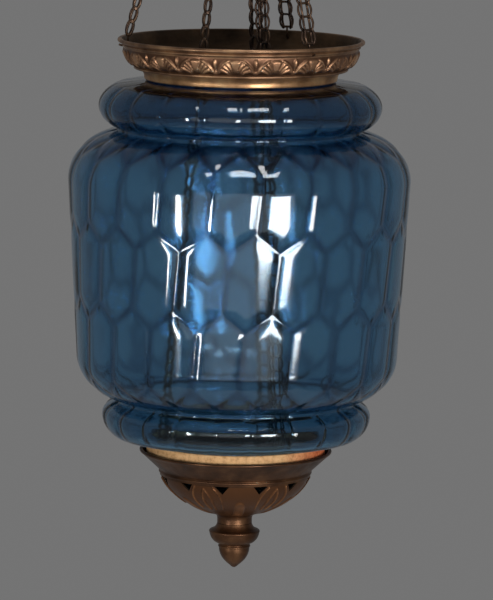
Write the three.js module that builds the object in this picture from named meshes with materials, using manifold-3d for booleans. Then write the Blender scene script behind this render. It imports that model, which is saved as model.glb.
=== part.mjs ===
// Hall lantern: a mould-blown honeycomb glass that rises on its chains as its bottom cup is drawn down.
// Millimetres, +Z up. The origin is the middle of the ceiling plate's top face.
// X runs across the front of the lamp and Y runs away from the front.
// Depths are measured downwards from the rim of the gallery, the brass ring on top of the glass.
import * as THREE from 'three';
import { mergeVertices } from 'three/addons/utils/BufferGeometryUtils.js';
import Module from 'manifold-3d';

const wasm = await Module();
wasm.setup();

// Clearances
const SEAT_GAP = 0.3;
const RUNNING_GAP = 0.4;
const CHAIN_GAP = 1.3;
const HEADROOM = 4;
const BELL_CLEARANCE = 9;
const BELL_MOUTH_CLEARANCE = 12;

// Ceiling plate
const PLATE_RADIUS = 45;
const PLATE_EDGE = 3.5;
const PLATE_SLOPE = 4;
const BOSS_RADIUS = 11;
const BOSS_DROP = 12;
const PLATE_SKIN = 3;
const SCREW_COUNT = 3;
const SCREW_CIRCLE = 33;
const SCREW_HOLE_RADIUS = 2.3;

// Hook, its nut and the link that hangs in it
const HOOK_WIRE = 2;
const HOOK_BEND = 11;
const HOOK_START = 55;
const HOOK_END = -235;
const HOOK_BENDS = 10;
const NUT_SIDES = 6;
const NUT_RADIUS = 6.5;
const NUT_HEIGHT = 3.5;
const LINK_WIRE = 1.75;
const LINK_BEND = 10.75;

// Loop, bell cover and pulley frame
const EYE_WIRE = 2;
const EYE_BEND = 8;
const LOOP_BASE_RADIUS = 9;
const LOOP_BASE_HEIGHT = 8;
const LOOP_BASE_CHAMFER = 2;
const SPIGOT_RADIUS = 4;
const SPIGOT_HEIGHT = 5;
const BELL_CROWN_LEDGE = 3;
const BELL_SKIRT = 45;
const SHEET = 1.2;
const COLUMN_RADIUS = 5.5;
const SHOULDER_RADIUS = 9;
const SHOULDER_HEIGHT = 3;
const CHEEK = 1.6;
const CHEEK_HALF_HEIGHT = 6;
const WEB = 3;

// Pulleys
const CHAIN_SETS = [['left', 186], ['front', 306], ['back', 66]];
const PULLEY_CIRCLE = 18.5;
const GROOVE_RADIUS = 8;
const FLANGE_RADIUS = 11.5;
const FLANGE = 1.2;
const PIN_RADIUS = 1.6;
const PIN_HEAD_RADIUS = 2.8;
const PIN_HEAD = 1;
const LIFT_TRAVEL = 30;
const PULLEY_TO_RIM = 200;

// Ladder chain
const CHAIN_WIDTH = 10.3;
const CHAIN_THICK = 1.5;
const CHAIN_PITCH = 10;
const CHAIN_RUNG = 1.5;
const CHAIN_RAIL_WIDE = 1.5;
const CHAIN_RAIL_NARROW = 2.2;
const RIM_WIRE = 0.75;

// Gallery: rolled rim, frieze, ledge, cove and collar
const GALLERY_RADIUS = 90.7;
const RIM_BEAD = 3;
const RIM_ROLL = 153;
const FRIEZE_TOP_RADIUS = 86.3;
const FRIEZE_TOP = 6.6;
const FRIEZE_FOOT_RADIUS = 77.7;
const FRIEZE_HEIGHT = 13.3;
const FRIEZE_POWER = 1.7;
const LEDGE_OUT = 0.7;
const LEDGE_IN = 1.4;
const LEDGE_HEIGHT = 2.3;
const COVE_HEIGHT = 6.4;
const COLLAR_RADIUS = 70.1;
const COLLAR_LIP = 0.8;
const COLLAR_LIP_HEIGHT = 1.4;
const RIM_HOLE_RADIUS = 1.6;
const RIM_HOLE_DEPTH = 5.3;
const SPLIT_RING_HEIGHT = 4;
const SPLIT_RING_WIDTH = 5.4;
const SPLIT_RING_CUT = 6;

// Glass: the drops are the heights between one level of its outline and the next
const GLASS_WALL = 3.6;
const NECK_RADIUS = 61.5;
const LIP_WIDTH = 4;
const LIP_HEIGHT = 3.5;
const CROWN_RADIUS = 75.3;
const UPPER_BULGE_RADIUS = 104.2;
const UPPER_BULGE_DROP = 19.3;
const UPPER_NOTCH_RADIUS = 82.6;
const UPPER_NOTCH_DROP = 16.8;
const BODY_RADIUS = 126;
const BODY_TOP_DROP = 37.1;
const BODY_FOOT_RADIUS = 118.7;
const BODY_HEIGHT = 129.4;
const LOWER_NOTCH_RADIUS = 79.9;
const LOWER_NOTCH_DROP = 33.6;
const LOWER_BULGE_RADIUS = 99.3;
const LOWER_BULGE_DROP = 11.5;
const LOWER_BULGE_ROUND = 17.8;
const NOTCH_ROUND = 7.8;
const FOOT_RADIUS = 65.8;
const FOOT_HEIGHT = 2.6;

// Honeycomb of the glass: tall six-sided cells in rows, each row half a cell on from the one above it.
// A seam is the zigzag between two rows. The twist is how far the pattern turns, in degrees, between
// the first seam and the last.
const CELLS = 21;
const STEPS_PER_CELL = 4;
const BULGE_STEP = 2;
const INNER_STEP = 4;
const SEAMS = 4;
const SEAM_HEIGHT = 14;
const FIRST_SEAM_DROP = 4.6;
const LAST_SEAM_RISE = 7.5;
const CELL_RELIEF = 1.8;
const EDGE_RELIEF_SHARE = 0.3;
const BULGE_RELIEF_SHARE = 0.7;
const PATTERN_PHASE = 0.5;
const TWIST = -8.35;

// Cork ring between cup and glass
const SEAT_RING_RADIUS = 66.2;
const SEAT_RING_SHOWS = 5.7;
const SEAT_RING_WIDTH = 4;

// Bottom cup: lip, cove, bead, pierced bowl and neck
const CUP_RADIUS = 71.2;
const CUP_WALL = 1.4;
const CUP_LIP = 2;
const COVE_RADIUS = 60.6;
const COVE_DROP = 11;
const BEAD_RADIUS = 56.8;
const BEAD_DROP = 16.7;
const BEAD_HEIGHT = 2.2;
const BELLY_RADIUS = 47.5;
const BELLY_DROP = 22;
const BOWL_HEIGHT = 31.9;
const BOWL_FOOT_RADIUS = 15.3;
const CUP_NECK_RADIUS = 12.9;
const CUP_NECK_HEIGHT = 6.9;
const FLOOR_RADIUS = 20;
const FLOOR_RISE = 8;
const PIERCED_HOLES = 12;
const PIERCED_WIDTH = 11;
const PIERCED_HEIGHT = 6.4;
const PIERCED_DROP = 2.4;
const PIERCED_PHASE = 20;

// Lugs that hold the inner chains in the cup
const LUG_THICK = 2;
const LUG_REACH = 56.2;
const LUG_EYE_RADIUS = 1.8;
const LUG_RIM = 3;
const LUG_DROP = 1.2;
const LUG_HEIGHT = 7.7;

// Candle nozzle, its pan and the rod that holds them and the finial to the cup
const ROD_RADIUS = 3;
const ROD_GRIP = 12;
const PAN_RADIUS = 28;
const PAN_HUB = 12;
const PAN_THICK = 1;
const PAN_RISE = 5;
const NOZZLE_BASE_RADIUS = 9;
const NOZZLE_BASE_HEIGHT = 15;
const NOZZLE_WAIST = 6;
const NOZZLE_FOOT = 2;
const NOZZLE_TAPER = 3;
const SOCKET_RADIUS = 10.5;
const SOCKET_DEPTH = 14;
const SOCKET_WALL = 1.2;
const SOCKET_FLARE = 2.5;

// Finial: a flared knop over an acorn
const KNOP_RADIUS = 18.9;
const KNOP_WIDEST = 5.7;
const KNOP_EDGE = 1;
const KNOP_HEIGHT = 15.2;
const ACORN_RADIUS = 12;
const ACORN_GROOVE = 0.7;
const ACORN_HEIGHT = 18.8;
const ACORN_TIP_RADIUS = 3;

// Round parts: how many flats stand in for a circle
const FINE_ROUND = 24;
const ROUND = 16;
const SMALL_ROUND = 12;
const HOLE_ROUND = 8;
const WIRE_ROUND = 6;
const RING_BENDS = 18;
const CURVE_STEPS = 4;
const SHORT_CURVE_STEPS = 3;
const SMOOTH_STEPS = 24;
const LEAST_STEP = 1;
const TURN = 2 * Math.PI;

// Stack from the ceiling down to the gallery's rim
const NUT_TOP = -BOSS_DROP - SEAT_GAP;
const NUT_BOTTOM = NUT_TOP - NUT_HEIGHT;
const HOOK_NECK = NUT_BOTTOM - HOOK_WIRE;
const HOOK_CENTRE = HOOK_NECK - HOOK_BEND - 2 * HOOK_WIRE;
const HOOK_SEAT = HOOK_CENTRE - HOOK_BEND;
const LINK_TOP = HOOK_SEAT + HOOK_WIRE + LINK_WIRE + SEAT_GAP;
const LINK_CENTRE = LINK_TOP - LINK_BEND;
const LINK_SEAT = LINK_CENTRE - LINK_BEND;
const EYE_CENTRE = LINK_SEAT + LINK_WIRE + EYE_WIRE + SEAT_GAP - EYE_BEND;
const LOOP_BASE_TOP = EYE_CENTRE - EYE_BEND;
const LOOP_BASE_BOTTOM = LOOP_BASE_TOP - LOOP_BASE_HEIGHT;
const BELL_TOP = LOOP_BASE_BOTTOM - SEAT_GAP;
const SHOULDER_TOP = BELL_TOP - SHEET - SEAT_GAP;
const CHAIN_CENTRE_RADIUS = GROOVE_RADIUS + CHAIN_GAP + CHAIN_THICK / 2;
const WRAP_TOP = CHAIN_CENTRE_RADIUS + CHAIN_THICK / 2;
const PULLEY_Z = SHOULDER_TOP - SHOULDER_HEIGHT - HEADROOM - LIFT_TRAVEL - WRAP_TOP;
const BELL_RIM = PULLEY_Z - BELL_SKIRT;
const RIM_Z = PULLEY_Z - PULLEY_TO_RIM;
const GROOVE_WIDTH = CHAIN_WIDTH + 2 * RUNNING_GAP;
const WHEEL_HALF_WIDTH = GROOVE_WIDTH / 2 + FLANGE;
const CHEEK_INNER = WHEEL_HALF_WIDTH + RUNNING_GAP;
const CHEEK_OUTER = CHEEK_INNER + CHEEK;

// Levels inside the gallery: flange, split ring, lip of the glass
const FRIEZE_FOOT = FRIEZE_TOP + FRIEZE_HEIGHT;
const LEDGE_FOOT = FRIEZE_FOOT + LEDGE_HEIGHT;
const COLLAR_DEPTH = LEDGE_FOOT + COVE_HEIGHT + COLLAR_LIP_HEIGHT;
const FLANGE_TOP = COLLAR_DEPTH - SHEET;
const SPLIT_RING_BOTTOM = FLANGE_TOP - SEAT_GAP;
const SPLIT_RING_TOP = SPLIT_RING_BOTTOM - SPLIT_RING_HEIGHT;
const LIP_UNDER = SPLIT_RING_TOP - SEAT_GAP;
const LIP_TOP = LIP_UNDER - LIP_HEIGHT;

// Levels of the glass
const CROWN_DEPTH = COLLAR_DEPTH + SEAT_GAP;
const UPPER_BULGE_DEPTH = CROWN_DEPTH + UPPER_BULGE_DROP;
const UPPER_NOTCH_DEPTH = UPPER_BULGE_DEPTH + UPPER_NOTCH_DROP;
const BODY_TOP = UPPER_NOTCH_DEPTH + BODY_TOP_DROP;
const BODY_FOOT = BODY_TOP + BODY_HEIGHT;
const LOWER_NOTCH_DEPTH = BODY_FOOT + LOWER_NOTCH_DROP;
const LOWER_BULGE_DEPTH = LOWER_NOTCH_DEPTH + LOWER_BULGE_DROP;
const BULGE_FOOT = LOWER_BULGE_DEPTH + LOWER_BULGE_ROUND;
const FOOT_DEPTH = BULGE_FOOT + FOOT_HEIGHT;
const FIRST_SEAM = UPPER_NOTCH_DEPTH + FIRST_SEAM_DROP;
const LAST_SEAM = LOWER_NOTCH_DEPTH - LAST_SEAM_RISE - SEAM_HEIGHT;
const ROW_PITCH = (LAST_SEAM - FIRST_SEAM) / (SEAMS - 1);

// Levels of the cup and of what stands in it
const SEAT_RING_TOP = FOOT_DEPTH + SEAT_GAP;
const CUP_DEPTH = SEAT_RING_TOP + SEAT_RING_SHOWS;
const BEAD_DEPTH = CUP_DEPTH + BEAD_DROP;
const BOWL_FOOT = BEAD_DEPTH + BOWL_HEIGHT;
const NECK_FOOT = BOWL_FOOT + CUP_NECK_HEIGHT;
const FLOOR_DEPTH = BOWL_FOOT - FLOOR_RISE;
const PAN_BOTTOM = FLOOR_DEPTH - SEAT_GAP;
const NOZZLE_BOTTOM = PAN_BOTTOM - PAN_THICK - SEAT_GAP;
const NOZZLE_SHELF = NOZZLE_BOTTOM - NOZZLE_BASE_HEIGHT;
const NOZZLE_TOP = NOZZLE_SHELF - SOCKET_DEPTH;
const FINIAL_TOP = NECK_FOOT + SEAT_GAP;
const ROD_BORE = ROD_RADIUS + SEAT_GAP;

// Finishes
const agedBrass = new THREE.MeshStandardMaterial({ color: 0x6b5138, roughness: 0.38, metalness: 0.9 });
const darkBrass = new THREE.MeshStandardMaterial({ color: 0x48301f, roughness: 0.35, metalness: 0.9 });
const chainBrass = new THREE.MeshStandardMaterial({ color: 0x54412c, roughness: 0.45, metalness: 0.9 });
const wheelBrass = new THREE.MeshStandardMaterial({ color: 0x8a6a3c, roughness: 0.35, metalness: 0.9 });
const steel = new THREE.MeshStandardMaterial({ color: 0x6a6a68, roughness: 0.4, metalness: 0.9 });
const cork = new THREE.MeshStandardMaterial({ color: 0xa67b50, roughness: 0.9, metalness: 0 });
const blueGlass = new THREE.MeshStandardMaterial({
  color: 0x3c6480, roughness: 0.05, metalness: 0, transparent: true, opacity: 0.6,
});

// The sign of a closed skin's volume, which tells whether its faces point out
function volumeSign(position, index) {
  const a = new THREE.Vector3();
  const b = new THREE.Vector3();
  const c = new THREE.Vector3();
  let sum = 0;
  for (let i = 0; i < index.length; i += 3) {
    a.fromBufferAttribute(position, index[i]);
    b.fromBufferAttribute(position, index[i + 1]);
    c.fromBufferAttribute(position, index[i + 2]);
    sum += a.dot(b.cross(c));
  }
  return Math.sign(sum);
}

// Shared vertices, no empty triangles, faces pointing out
function welded(geometry) {
  geometry.deleteAttribute('normal');
  geometry.deleteAttribute('uv');
  geometry.clearGroups();
  const merged = mergeVertices(geometry, 1e-4);
  const source = merged.index.array;
  const kept = [];
  for (let i = 0; i < source.length; i += 3) {
    const [a, b, c] = [source[i], source[i + 1], source[i + 2]];
    if (a !== b && b !== c && c !== a) {
      kept.push(a, b, c);
    }
  }
  if (volumeSign(merged.attributes.position, kept) < 0) {
    kept.reverse();
  }
  merged.setIndex(kept);
  merged.computeVertexNormals();
  return merged;
}

function toSolid(geometry) {
  return new wasm.Manifold(new wasm.Mesh({
    numProp: 3,
    vertProperties: new Float32Array(geometry.attributes.position.array),
    triVerts: new Uint32Array(geometry.index.array),
  }));
}

function toGeometry(solid) {
  const mesh = solid.getMesh();
  const geometry = new THREE.BufferGeometry();
  geometry.setAttribute('position', new THREE.Float32BufferAttribute(mesh.vertProperties, 3));
  geometry.setIndex(Array.from(mesh.triVerts));
  geometry.computeVertexNormals();
  return geometry;
}

function joined(...geometries) {
  return toGeometry(geometries.map(toSolid).reduce((whole, piece) => whole.add(piece)));
}

function cut(geometry, tools) {
  return toGeometry(tools.map(toSolid).reduce((rest, tool) => rest.subtract(tool), toSolid(geometry)));
}

// A turned piece: its outline is a closed list of [radius, height], or one that starts and ends on the axis
function turned(outline, flats) {
  const points = outline.map(([radius, height]) => new THREE.Vector2(radius, height));
  const onAxis = outline[0][0] === 0 && outline[outline.length - 1][0] === 0;
  if (!onAxis) {
    points.push(points[0].clone());
  }
  return welded(new THREE.LatheGeometry(points, flats).rotateX(Math.PI / 2));
}

// The same for outlines given as [radius, depth] below the gallery's rim
function turnedBelowRim(outline, flats) {
  return turned(outline.map(([radius, depth]) => [radius, -depth]), flats);
}

// A wire bent along a list of points
function bentWire(points, radius, steps) {
  const section = new THREE.Shape();
  for (let i = 0; i < WIRE_ROUND; i += 1) {
    const angle = (i / WIRE_ROUND) * TURN;
    const [x, y] = [radius * Math.cos(angle), radius * Math.sin(angle)];
    if (i === 0) {
      section.moveTo(x, y);
    } else {
      section.lineTo(x, y);
    }
  }
  const extrudePath = new THREE.CatmullRomCurve3(points.map((point) => new THREE.Vector3(...point)));
  return welded(new THREE.ExtrudeGeometry(section, { extrudePath, steps, bevelEnabled: false }));
}

// A plate of even thickness drawn in the radius and height plane, standing on edge along a radius
function radialPlate(shape, thickness) {
  const settings = { depth: thickness, bevelEnabled: false, curveSegments: CURVE_STEPS };
  const plate = new THREE.ExtrudeGeometry(shape, settings);
  return welded(plate.translate(0, 0, -thickness / 2).rotateX(Math.PI / 2));
}

// A quarter of a superellipse from one outline point to the next, level or upright where it starts
function quarter(from, to, startsLevel, power, steps) {
  const points = [];
  for (let i = 1; i <= steps; i += 1) {
    const turn = (Math.PI / 2) * (i / steps);
    const early = Math.sin(turn) ** (2 / power);
    const late = 1 - Math.cos(turn) ** (2 / power);
    const across = startsLevel ? early : late;
    const along = startsLevel ? late : early;
    points.push([from[0] + (to[0] - from[0]) * across, from[1] + (to[1] - from[1]) * along]);
  }
  return points;
}

// A curve through one control point, from one outline point to the next
function bow(from, control, to, steps) {
  const curve = new THREE.QuadraticBezierCurve(...[from, control, to].map((p) => new THREE.Vector2(...p)));
  return curve.getPoints(steps).slice(1).map((point) => [point.x, point.y]);
}

// The unit normal of an open outline at each of its points, to the right of its direction
function normals(outline) {
  return outline.map((point, i) => {
    const before = outline[Math.max(i - 1, 0)];
    const after = outline[Math.min(i + 1, outline.length - 1)];
    const length = Math.hypot(after[0] - before[0], after[1] - before[1]);
    return [(after[1] - before[1]) / length, -(after[0] - before[0]) / length];
  });
}

// An open outline moved inwards by the thickness of its wall
function inset(outline, wall) {
  const directions = normals(outline);
  return outline.map(([radius, depth], i) => {
    const [across, down] = directions[i];
    return [radius - across * wall, depth - down * wall];
  });
}

// The radius of an outline at a depth
function radiusAt(outline, depth) {
  for (let i = 1; i < outline.length; i += 1) {
    const [r0, d0] = outline[i - 1];
    const [r1, d1] = outline[i];
    if (depth >= d0 && depth <= d1) {
      return r0 + (r1 - r0) * ((depth - d0) / (d1 - d0));
    }
  }
  return outline[outline.length - 1][0];
}

// Where a chain from a foot point first touches its pulley, as an angle round the wheel
function contactAngle(foot, side) {
  const across = foot[0] - PULLEY_CIRCLE;
  const down = foot[1] - PULLEY_Z;
  const spread = Math.acos(CHAIN_CENTRE_RADIUS / Math.hypot(across, down));
  return Math.atan2(down, across) + side * spread;
}

// The middle line of a chain: straight from its foot to the pulley, then round the wheel
function chainRoute(foot, angle, wrap) {
  const touch = [
    PULLEY_CIRCLE + CHAIN_CENTRE_RADIUS * Math.cos(angle),
    PULLEY_Z + CHAIN_CENTRE_RADIUS * Math.sin(angle),
  ];
  const straight = Math.hypot(touch[0] - foot[0], touch[1] - foot[1]);
  const direction = [(touch[0] - foot[0]) / straight, (touch[1] - foot[1]) / straight];
  const at = (distance) => {
    if (distance <= straight) {
      return {
        point: [foot[0] + direction[0] * distance, foot[1] + direction[1] * distance],
        normal: [Math.cos(angle), Math.sin(angle)],
      };
    }
    const turn = angle + (distance - straight) / CHAIN_CENTRE_RADIUS;
    const normal = [Math.cos(turn), Math.sin(turn)];
    return {
      point: [PULLEY_CIRCLE + CHAIN_CENTRE_RADIUS * normal[0], PULLEY_Z + CHAIN_CENTRE_RADIUS * normal[1]],
      normal,
    };
  };
  return { straight, length: straight + wrap, at };
}

// Some links of a ladder chain along a route: two legs and a rung each, the legs closing in towards the foot
function ladderLinks(route, pitch, first, last) {
  const half = CHAIN_WIDTH / 2;
  const rung = CHAIN_RUNG / 2;
  const side = [first * pitch - rung, first * pitch + rung, last * pitch - rung, last * pitch + rung];
  const outline = [
    ...side.map((height) => [half, height]),
    ...side.reverse().map((height) => [-half, height]),
  ];
  const shape = new THREE.Shape(outline.map((point) => new THREE.Vector2(...point)));
  for (let i = first; i < last; i += 1) {
    const low = i * pitch + rung;
    const high = (i + 1) * pitch - rung;
    const lowHalf = half - CHAIN_RAIL_NARROW;
    const highHalf = half - CHAIN_RAIL_WIDE;
    const gap = [[-lowHalf, low], [-highHalf, high], [highHalf, high], [lowHalf, low]];
    shape.holes.push(new THREE.Path(gap.map((point) => new THREE.Vector2(...point))));
  }
  const flat = new THREE.ExtrudeGeometry(shape, { depth: CHAIN_THICK, bevelEnabled: false });
  const position = flat.attributes.position;
  for (let i = 0; i < position.count; i += 1) {
    const { point, normal } = route.at(position.getY(i));
    const lift = position.getZ(i) - CHAIN_THICK / 2;
    position.setXYZ(i, point[0] + normal[0] * lift, position.getX(i), point[1] + normal[1] * lift);
  }
  return welded(flat);
}

// A whole ladder chain: its straight run, then link by link round the pulley
function ladderChain(route) {
  const links = Math.round(route.length / CHAIN_PITCH);
  const pitch = route.length / links;
  const straightLinks = Math.min(Math.floor(route.straight / pitch), links);
  const parts = [ladderLinks(route, pitch, 0, straightLinks)];
  for (let i = straightLinks; i < links; i += 1) {
    parts.push(ladderLinks(route, pitch, i, i + 1));
  }
  return joined(...parts);
}

// Ceiling plate with its boss, blind bore for the hook and screw holes
function ceilingPlate() {
  const bore = HOOK_WIRE + SEAT_GAP;
  const body = turned([
    [0, 0], [PLATE_RADIUS, 0], [PLATE_RADIUS, -PLATE_EDGE],
    ...bow([PLATE_RADIUS, -PLATE_EDGE], [PLATE_RADIUS - PLATE_SLOPE, -PLATE_EDGE - PLATE_SLOPE],
      [BOSS_RADIUS + PLATE_SLOPE, -PLATE_EDGE - PLATE_SLOPE], SHORT_CURVE_STEPS),
    [BOSS_RADIUS, -BOSS_DROP], [bore, -BOSS_DROP], [bore, -PLATE_SKIN], [0, -PLATE_SKIN],
  ], ROUND);
  const holes = [];
  for (let i = 0; i < SCREW_COUNT; i += 1) {
    const hole = new THREE.CylinderGeometry(SCREW_HOLE_RADIUS, SCREW_HOLE_RADIUS, 4 * BOSS_DROP, HOLE_ROUND);
    hole.rotateX(Math.PI / 2).translate(0, SCREW_CIRCLE, 0).rotateZ((i / SCREW_COUNT) * TURN);
    holes.push(welded(hole));
  }
  return cut(body, holes);
}

function hookNut() {
  const hexagon = new THREE.Shape();
  for (let i = 0; i < NUT_SIDES; i += 1) {
    const angle = (i / NUT_SIDES) * TURN;
    const [x, y] = [NUT_RADIUS * Math.cos(angle), NUT_RADIUS * Math.sin(angle)];
    if (i === 0) {
      hexagon.moveTo(x, y);
    } else {
      hexagon.lineTo(x, y);
    }
  }
  hexagon.holes.push(new THREE.Path().absarc(0, 0, HOOK_WIRE + SEAT_GAP, 0, TURN));
  const settings = { depth: NUT_HEIGHT, bevelEnabled: false, curveSegments: WIRE_ROUND };
  return welded(new THREE.ExtrudeGeometry(hexagon, settings).translate(0, 0, NUT_BOTTOM));
}

// Open hook: a straight shank, then most of a circle under it
function ceilingHook() {
  const points = [
    [0, 0, -PLATE_SKIN - SEAT_GAP],
    [0, 0, NUT_TOP],
    [0, 0, HOOK_NECK],
  ];
  for (let i = 0; i <= HOOK_BENDS; i += 1) {
    const angle = THREE.MathUtils.degToRad(HOOK_START + (HOOK_END - HOOK_START) * (i / HOOK_BENDS));
    points.push([HOOK_BEND * Math.cos(angle), 0, HOOK_CENTRE + HOOK_BEND * Math.sin(angle)]);
  }
  return bentWire(points, HOOK_WIRE, 2 * HOOK_BENDS);
}

function suspensionLink() {
  const ring = new THREE.TorusGeometry(LINK_BEND, LINK_WIRE, WIRE_ROUND, RING_BENDS);
  return welded(ring.rotateY(Math.PI / 2).translate(0, 0, LINK_CENTRE));
}

// Loop on top of the bell: an eye on a turned base that is bored for the frame's spigot
function canopyLoop() {
  const eye = new THREE.TorusGeometry(EYE_BEND, EYE_WIRE, WIRE_ROUND, RING_BENDS).rotateX(Math.PI / 2);
  const bore = SPIGOT_RADIUS + SEAT_GAP;
  const boreTop = BELL_TOP + SPIGOT_HEIGHT + SEAT_GAP;
  const base = turned([
    [0, LOOP_BASE_TOP + EYE_WIRE / 2],
    [SPIGOT_RADIUS, LOOP_BASE_TOP + EYE_WIRE / 2],
    [LOOP_BASE_RADIUS - LOOP_BASE_CHAMFER, LOOP_BASE_TOP - LOOP_BASE_CHAMFER],
    [LOOP_BASE_RADIUS, LOOP_BASE_BOTTOM + LOOP_BASE_CHAMFER],
    [LOOP_BASE_RADIUS, LOOP_BASE_BOTTOM],
    [bore, LOOP_BASE_BOTTOM],
    [bore, boreTop],
    [0, boreTop],
  ], SMALL_ROUND);
  return joined(base, welded(eye.translate(0, 0, EYE_CENTRE)));
}

// How far an outer chain reaches from the axis at a height, when the glass is up
function raisedReach(height) {
  const { at, straight } = outerRoute();
  const [foot, touch] = [at(0).point, at(straight).point];
  const lean = (touch[0] - foot[0]) / (touch[1] - foot[1]);
  const middle = touch[0] + (height - LIFT_TRAVEL - touch[1]) * lean;
  return Math.hypot(middle + CHAIN_THICK / 2, CHAIN_WIDTH / 2);
}

// Bell cover, open below, wide enough for the raised chains. The frame's spigot passes through its crown.
function canopyBell() {
  const crownHole = SPIGOT_RADIUS + SEAT_GAP;
  const crown = [LOOP_BASE_RADIUS + BELL_CROWN_LEDGE, BELL_TOP];
  const waist = [raisedReach(PULLEY_Z) + BELL_CLEARANCE, PULLEY_Z];
  const mouth = [raisedReach(BELL_RIM) + BELL_MOUTH_CLEARANCE, BELL_RIM];
  const outside = [
    [crownHole, BELL_TOP],
    crown,
    ...quarter(crown, waist, true, 2, CURVE_STEPS),
    ...quarter(waist, mouth, false, 2, SHORT_CURVE_STEPS),
  ];
  const inside = inset(outside.map(([radius, height]) => [radius, -height]), SHEET)
    .map(([radius, depth]) => [radius, -depth]);
  inside[0] = [crownHole, BELL_TOP - SHEET];
  inside[inside.length - 1] = [mouth[0] - SHEET, BELL_RIM];
  return turned([...outside, ...inside.reverse()], ROUND);
}

// Pulley frame: a column with three open forks, hung from the bell's crown by its spigot
function pulleyFrame() {
  const column = turned([
    [0, BELL_TOP + SPIGOT_HEIGHT],
    [SPIGOT_RADIUS, BELL_TOP + SPIGOT_HEIGHT],
    [SPIGOT_RADIUS, SHOULDER_TOP],
    [SHOULDER_RADIUS, SHOULDER_TOP],
    [SHOULDER_RADIUS, SHOULDER_TOP - SHOULDER_HEIGHT],
    [COLUMN_RADIUS, SHOULDER_TOP - SHOULDER_HEIGHT - COLUMN_RADIUS + SPIGOT_RADIUS],
    [COLUMN_RADIUS, PULLEY_Z - CHEEK_HALF_HEIGHT],
    [0, PULLEY_Z - CHEEK_HALF_HEIGHT - COLUMN_RADIUS / 2],
  ], SMALL_ROUND);
  const joint = CHEEK_OUTER / Math.sin(Math.PI / 3);
  const pieces = [column];
  CHAIN_SETS.forEach(([, azimuth]) => {
    const angle = THREE.MathUtils.degToRad(azimuth);
    for (const side of [-1, 1]) {
      const shape = new THREE.Shape();
      const start = CHEEK_INNER / Math.tan(Math.PI / 3);
      shape.moveTo(start, -CHEEK_HALF_HEIGHT);
      shape.lineTo(PULLEY_CIRCLE, -CHEEK_HALF_HEIGHT);
      shape.absarc(PULLEY_CIRCLE, 0, CHEEK_HALF_HEIGHT, -Math.PI / 2, Math.PI / 2);
      shape.lineTo(start, CHEEK_HALF_HEIGHT);
      shape.holes.push(new THREE.Path().absarc(PULLEY_CIRCLE, 0, PIN_RADIUS + SEAT_GAP, 0, TURN));
      const cheek = radialPlate(shape, CHEEK);
      cheek.translate(0, side * (CHEEK_INNER + CHEEK / 2), PULLEY_Z).rotateZ(angle);
      pieces.push(cheek);
    }
    const reach = joint - CHEEK / 2;
    const web = new THREE.BoxGeometry(reach, WEB, 2 * CHEEK_HALF_HEIGHT - CHEEK / 2);
    web.translate(reach / 2, 0, PULLEY_Z).rotateZ(angle + Math.PI / 3);
    pieces.push(welded(web));
  });
  return joined(...pieces);
}

// A wheel or pin is turned about Z, then laid across its fork at the pulley's place
function acrossFork(geometry) {
  return geometry.rotateX(Math.PI / 2).translate(PULLEY_CIRCLE, 0, PULLEY_Z);
}

function pulleyWheel() {
  const bore = PIN_RADIUS + RUNNING_GAP;
  const groove = GROOVE_WIDTH / 2;
  return acrossFork(turned([
    [bore, -WHEEL_HALF_WIDTH], [FLANGE_RADIUS, -WHEEL_HALF_WIDTH], [FLANGE_RADIUS, -groove],
    [GROOVE_RADIUS, -groove], [GROOVE_RADIUS, groove], [FLANGE_RADIUS, groove],
    [FLANGE_RADIUS, WHEEL_HALF_WIDTH], [bore, WHEEL_HALF_WIDTH],
  ], SMALL_ROUND));
}

function pulleyPin() {
  const grip = CHEEK_OUTER + SEAT_GAP;
  return acrossFork(turned([
    [0, -grip - PIN_HEAD], [PIN_HEAD_RADIUS, -grip - PIN_HEAD], [PIN_HEAD_RADIUS, -grip], [PIN_RADIUS, -grip],
    [PIN_RADIUS, grip], [PIN_HEAD_RADIUS, grip], [PIN_HEAD_RADIUS, grip + PIN_HEAD], [0, grip + PIN_HEAD],
  ], HOLE_ROUND));
}

// The gallery's outside, from the top of its rolled rim down to the foot of its collar
function galleryOutside() {
  const bead = RIM_BEAD / 2;
  const beadCentre = [GALLERY_RADIUS - bead, bead];
  const rim = [];
  for (let i = 0; i <= SHORT_CURVE_STEPS; i += 1) {
    const angle = THREE.MathUtils.degToRad(-90 + RIM_ROLL * (i / SHORT_CURVE_STEPS));
    rim.push([beadCentre[0] + bead * Math.cos(angle), beadCentre[1] + bead * Math.sin(angle)]);
  }
  const friezeTop = [FRIEZE_TOP_RADIUS, FRIEZE_TOP];
  const friezeFoot = [FRIEZE_FOOT_RADIUS, FRIEZE_FOOT];
  const ledge = [FRIEZE_FOOT_RADIUS - LEDGE_IN, LEDGE_FOOT];
  const coveFoot = [COLLAR_RADIUS + COLLAR_LIP, COLLAR_DEPTH - COLLAR_LIP_HEIGHT];
  return [
    [GALLERY_RADIUS - RIM_BEAD, 0],
    ...rim,
    [FRIEZE_TOP_RADIUS + LEDGE_OUT, (RIM_BEAD + FRIEZE_TOP) / 2],
    friezeTop,
    ...quarter(friezeTop, friezeFoot, false, FRIEZE_POWER, SHORT_CURVE_STEPS),
    [FRIEZE_FOOT_RADIUS + LEDGE_OUT, (FRIEZE_FOOT + LEDGE_FOOT) / 2],
    ledge,
    ...quarter(ledge, coveFoot, true, 2, SHORT_CURVE_STEPS - 1),
    [COLLAR_RADIUS, COLLAR_DEPTH],
  ];
}

// The inside of the gallery's wall, from the top down to the flange
function galleryInside() {
  const wall = galleryOutside().filter(([, depth]) => depth > RIM_BEAD);
  const inner = inset(wall, SHEET).filter(([, depth]) => depth < FLANGE_TOP - SHEET);
  return [
    [GALLERY_RADIUS - RIM_BEAD - SHEET, SHEET],
    ...inner,
    [COLLAR_RADIUS - SHEET, FLANGE_TOP],
  ];
}

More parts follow.
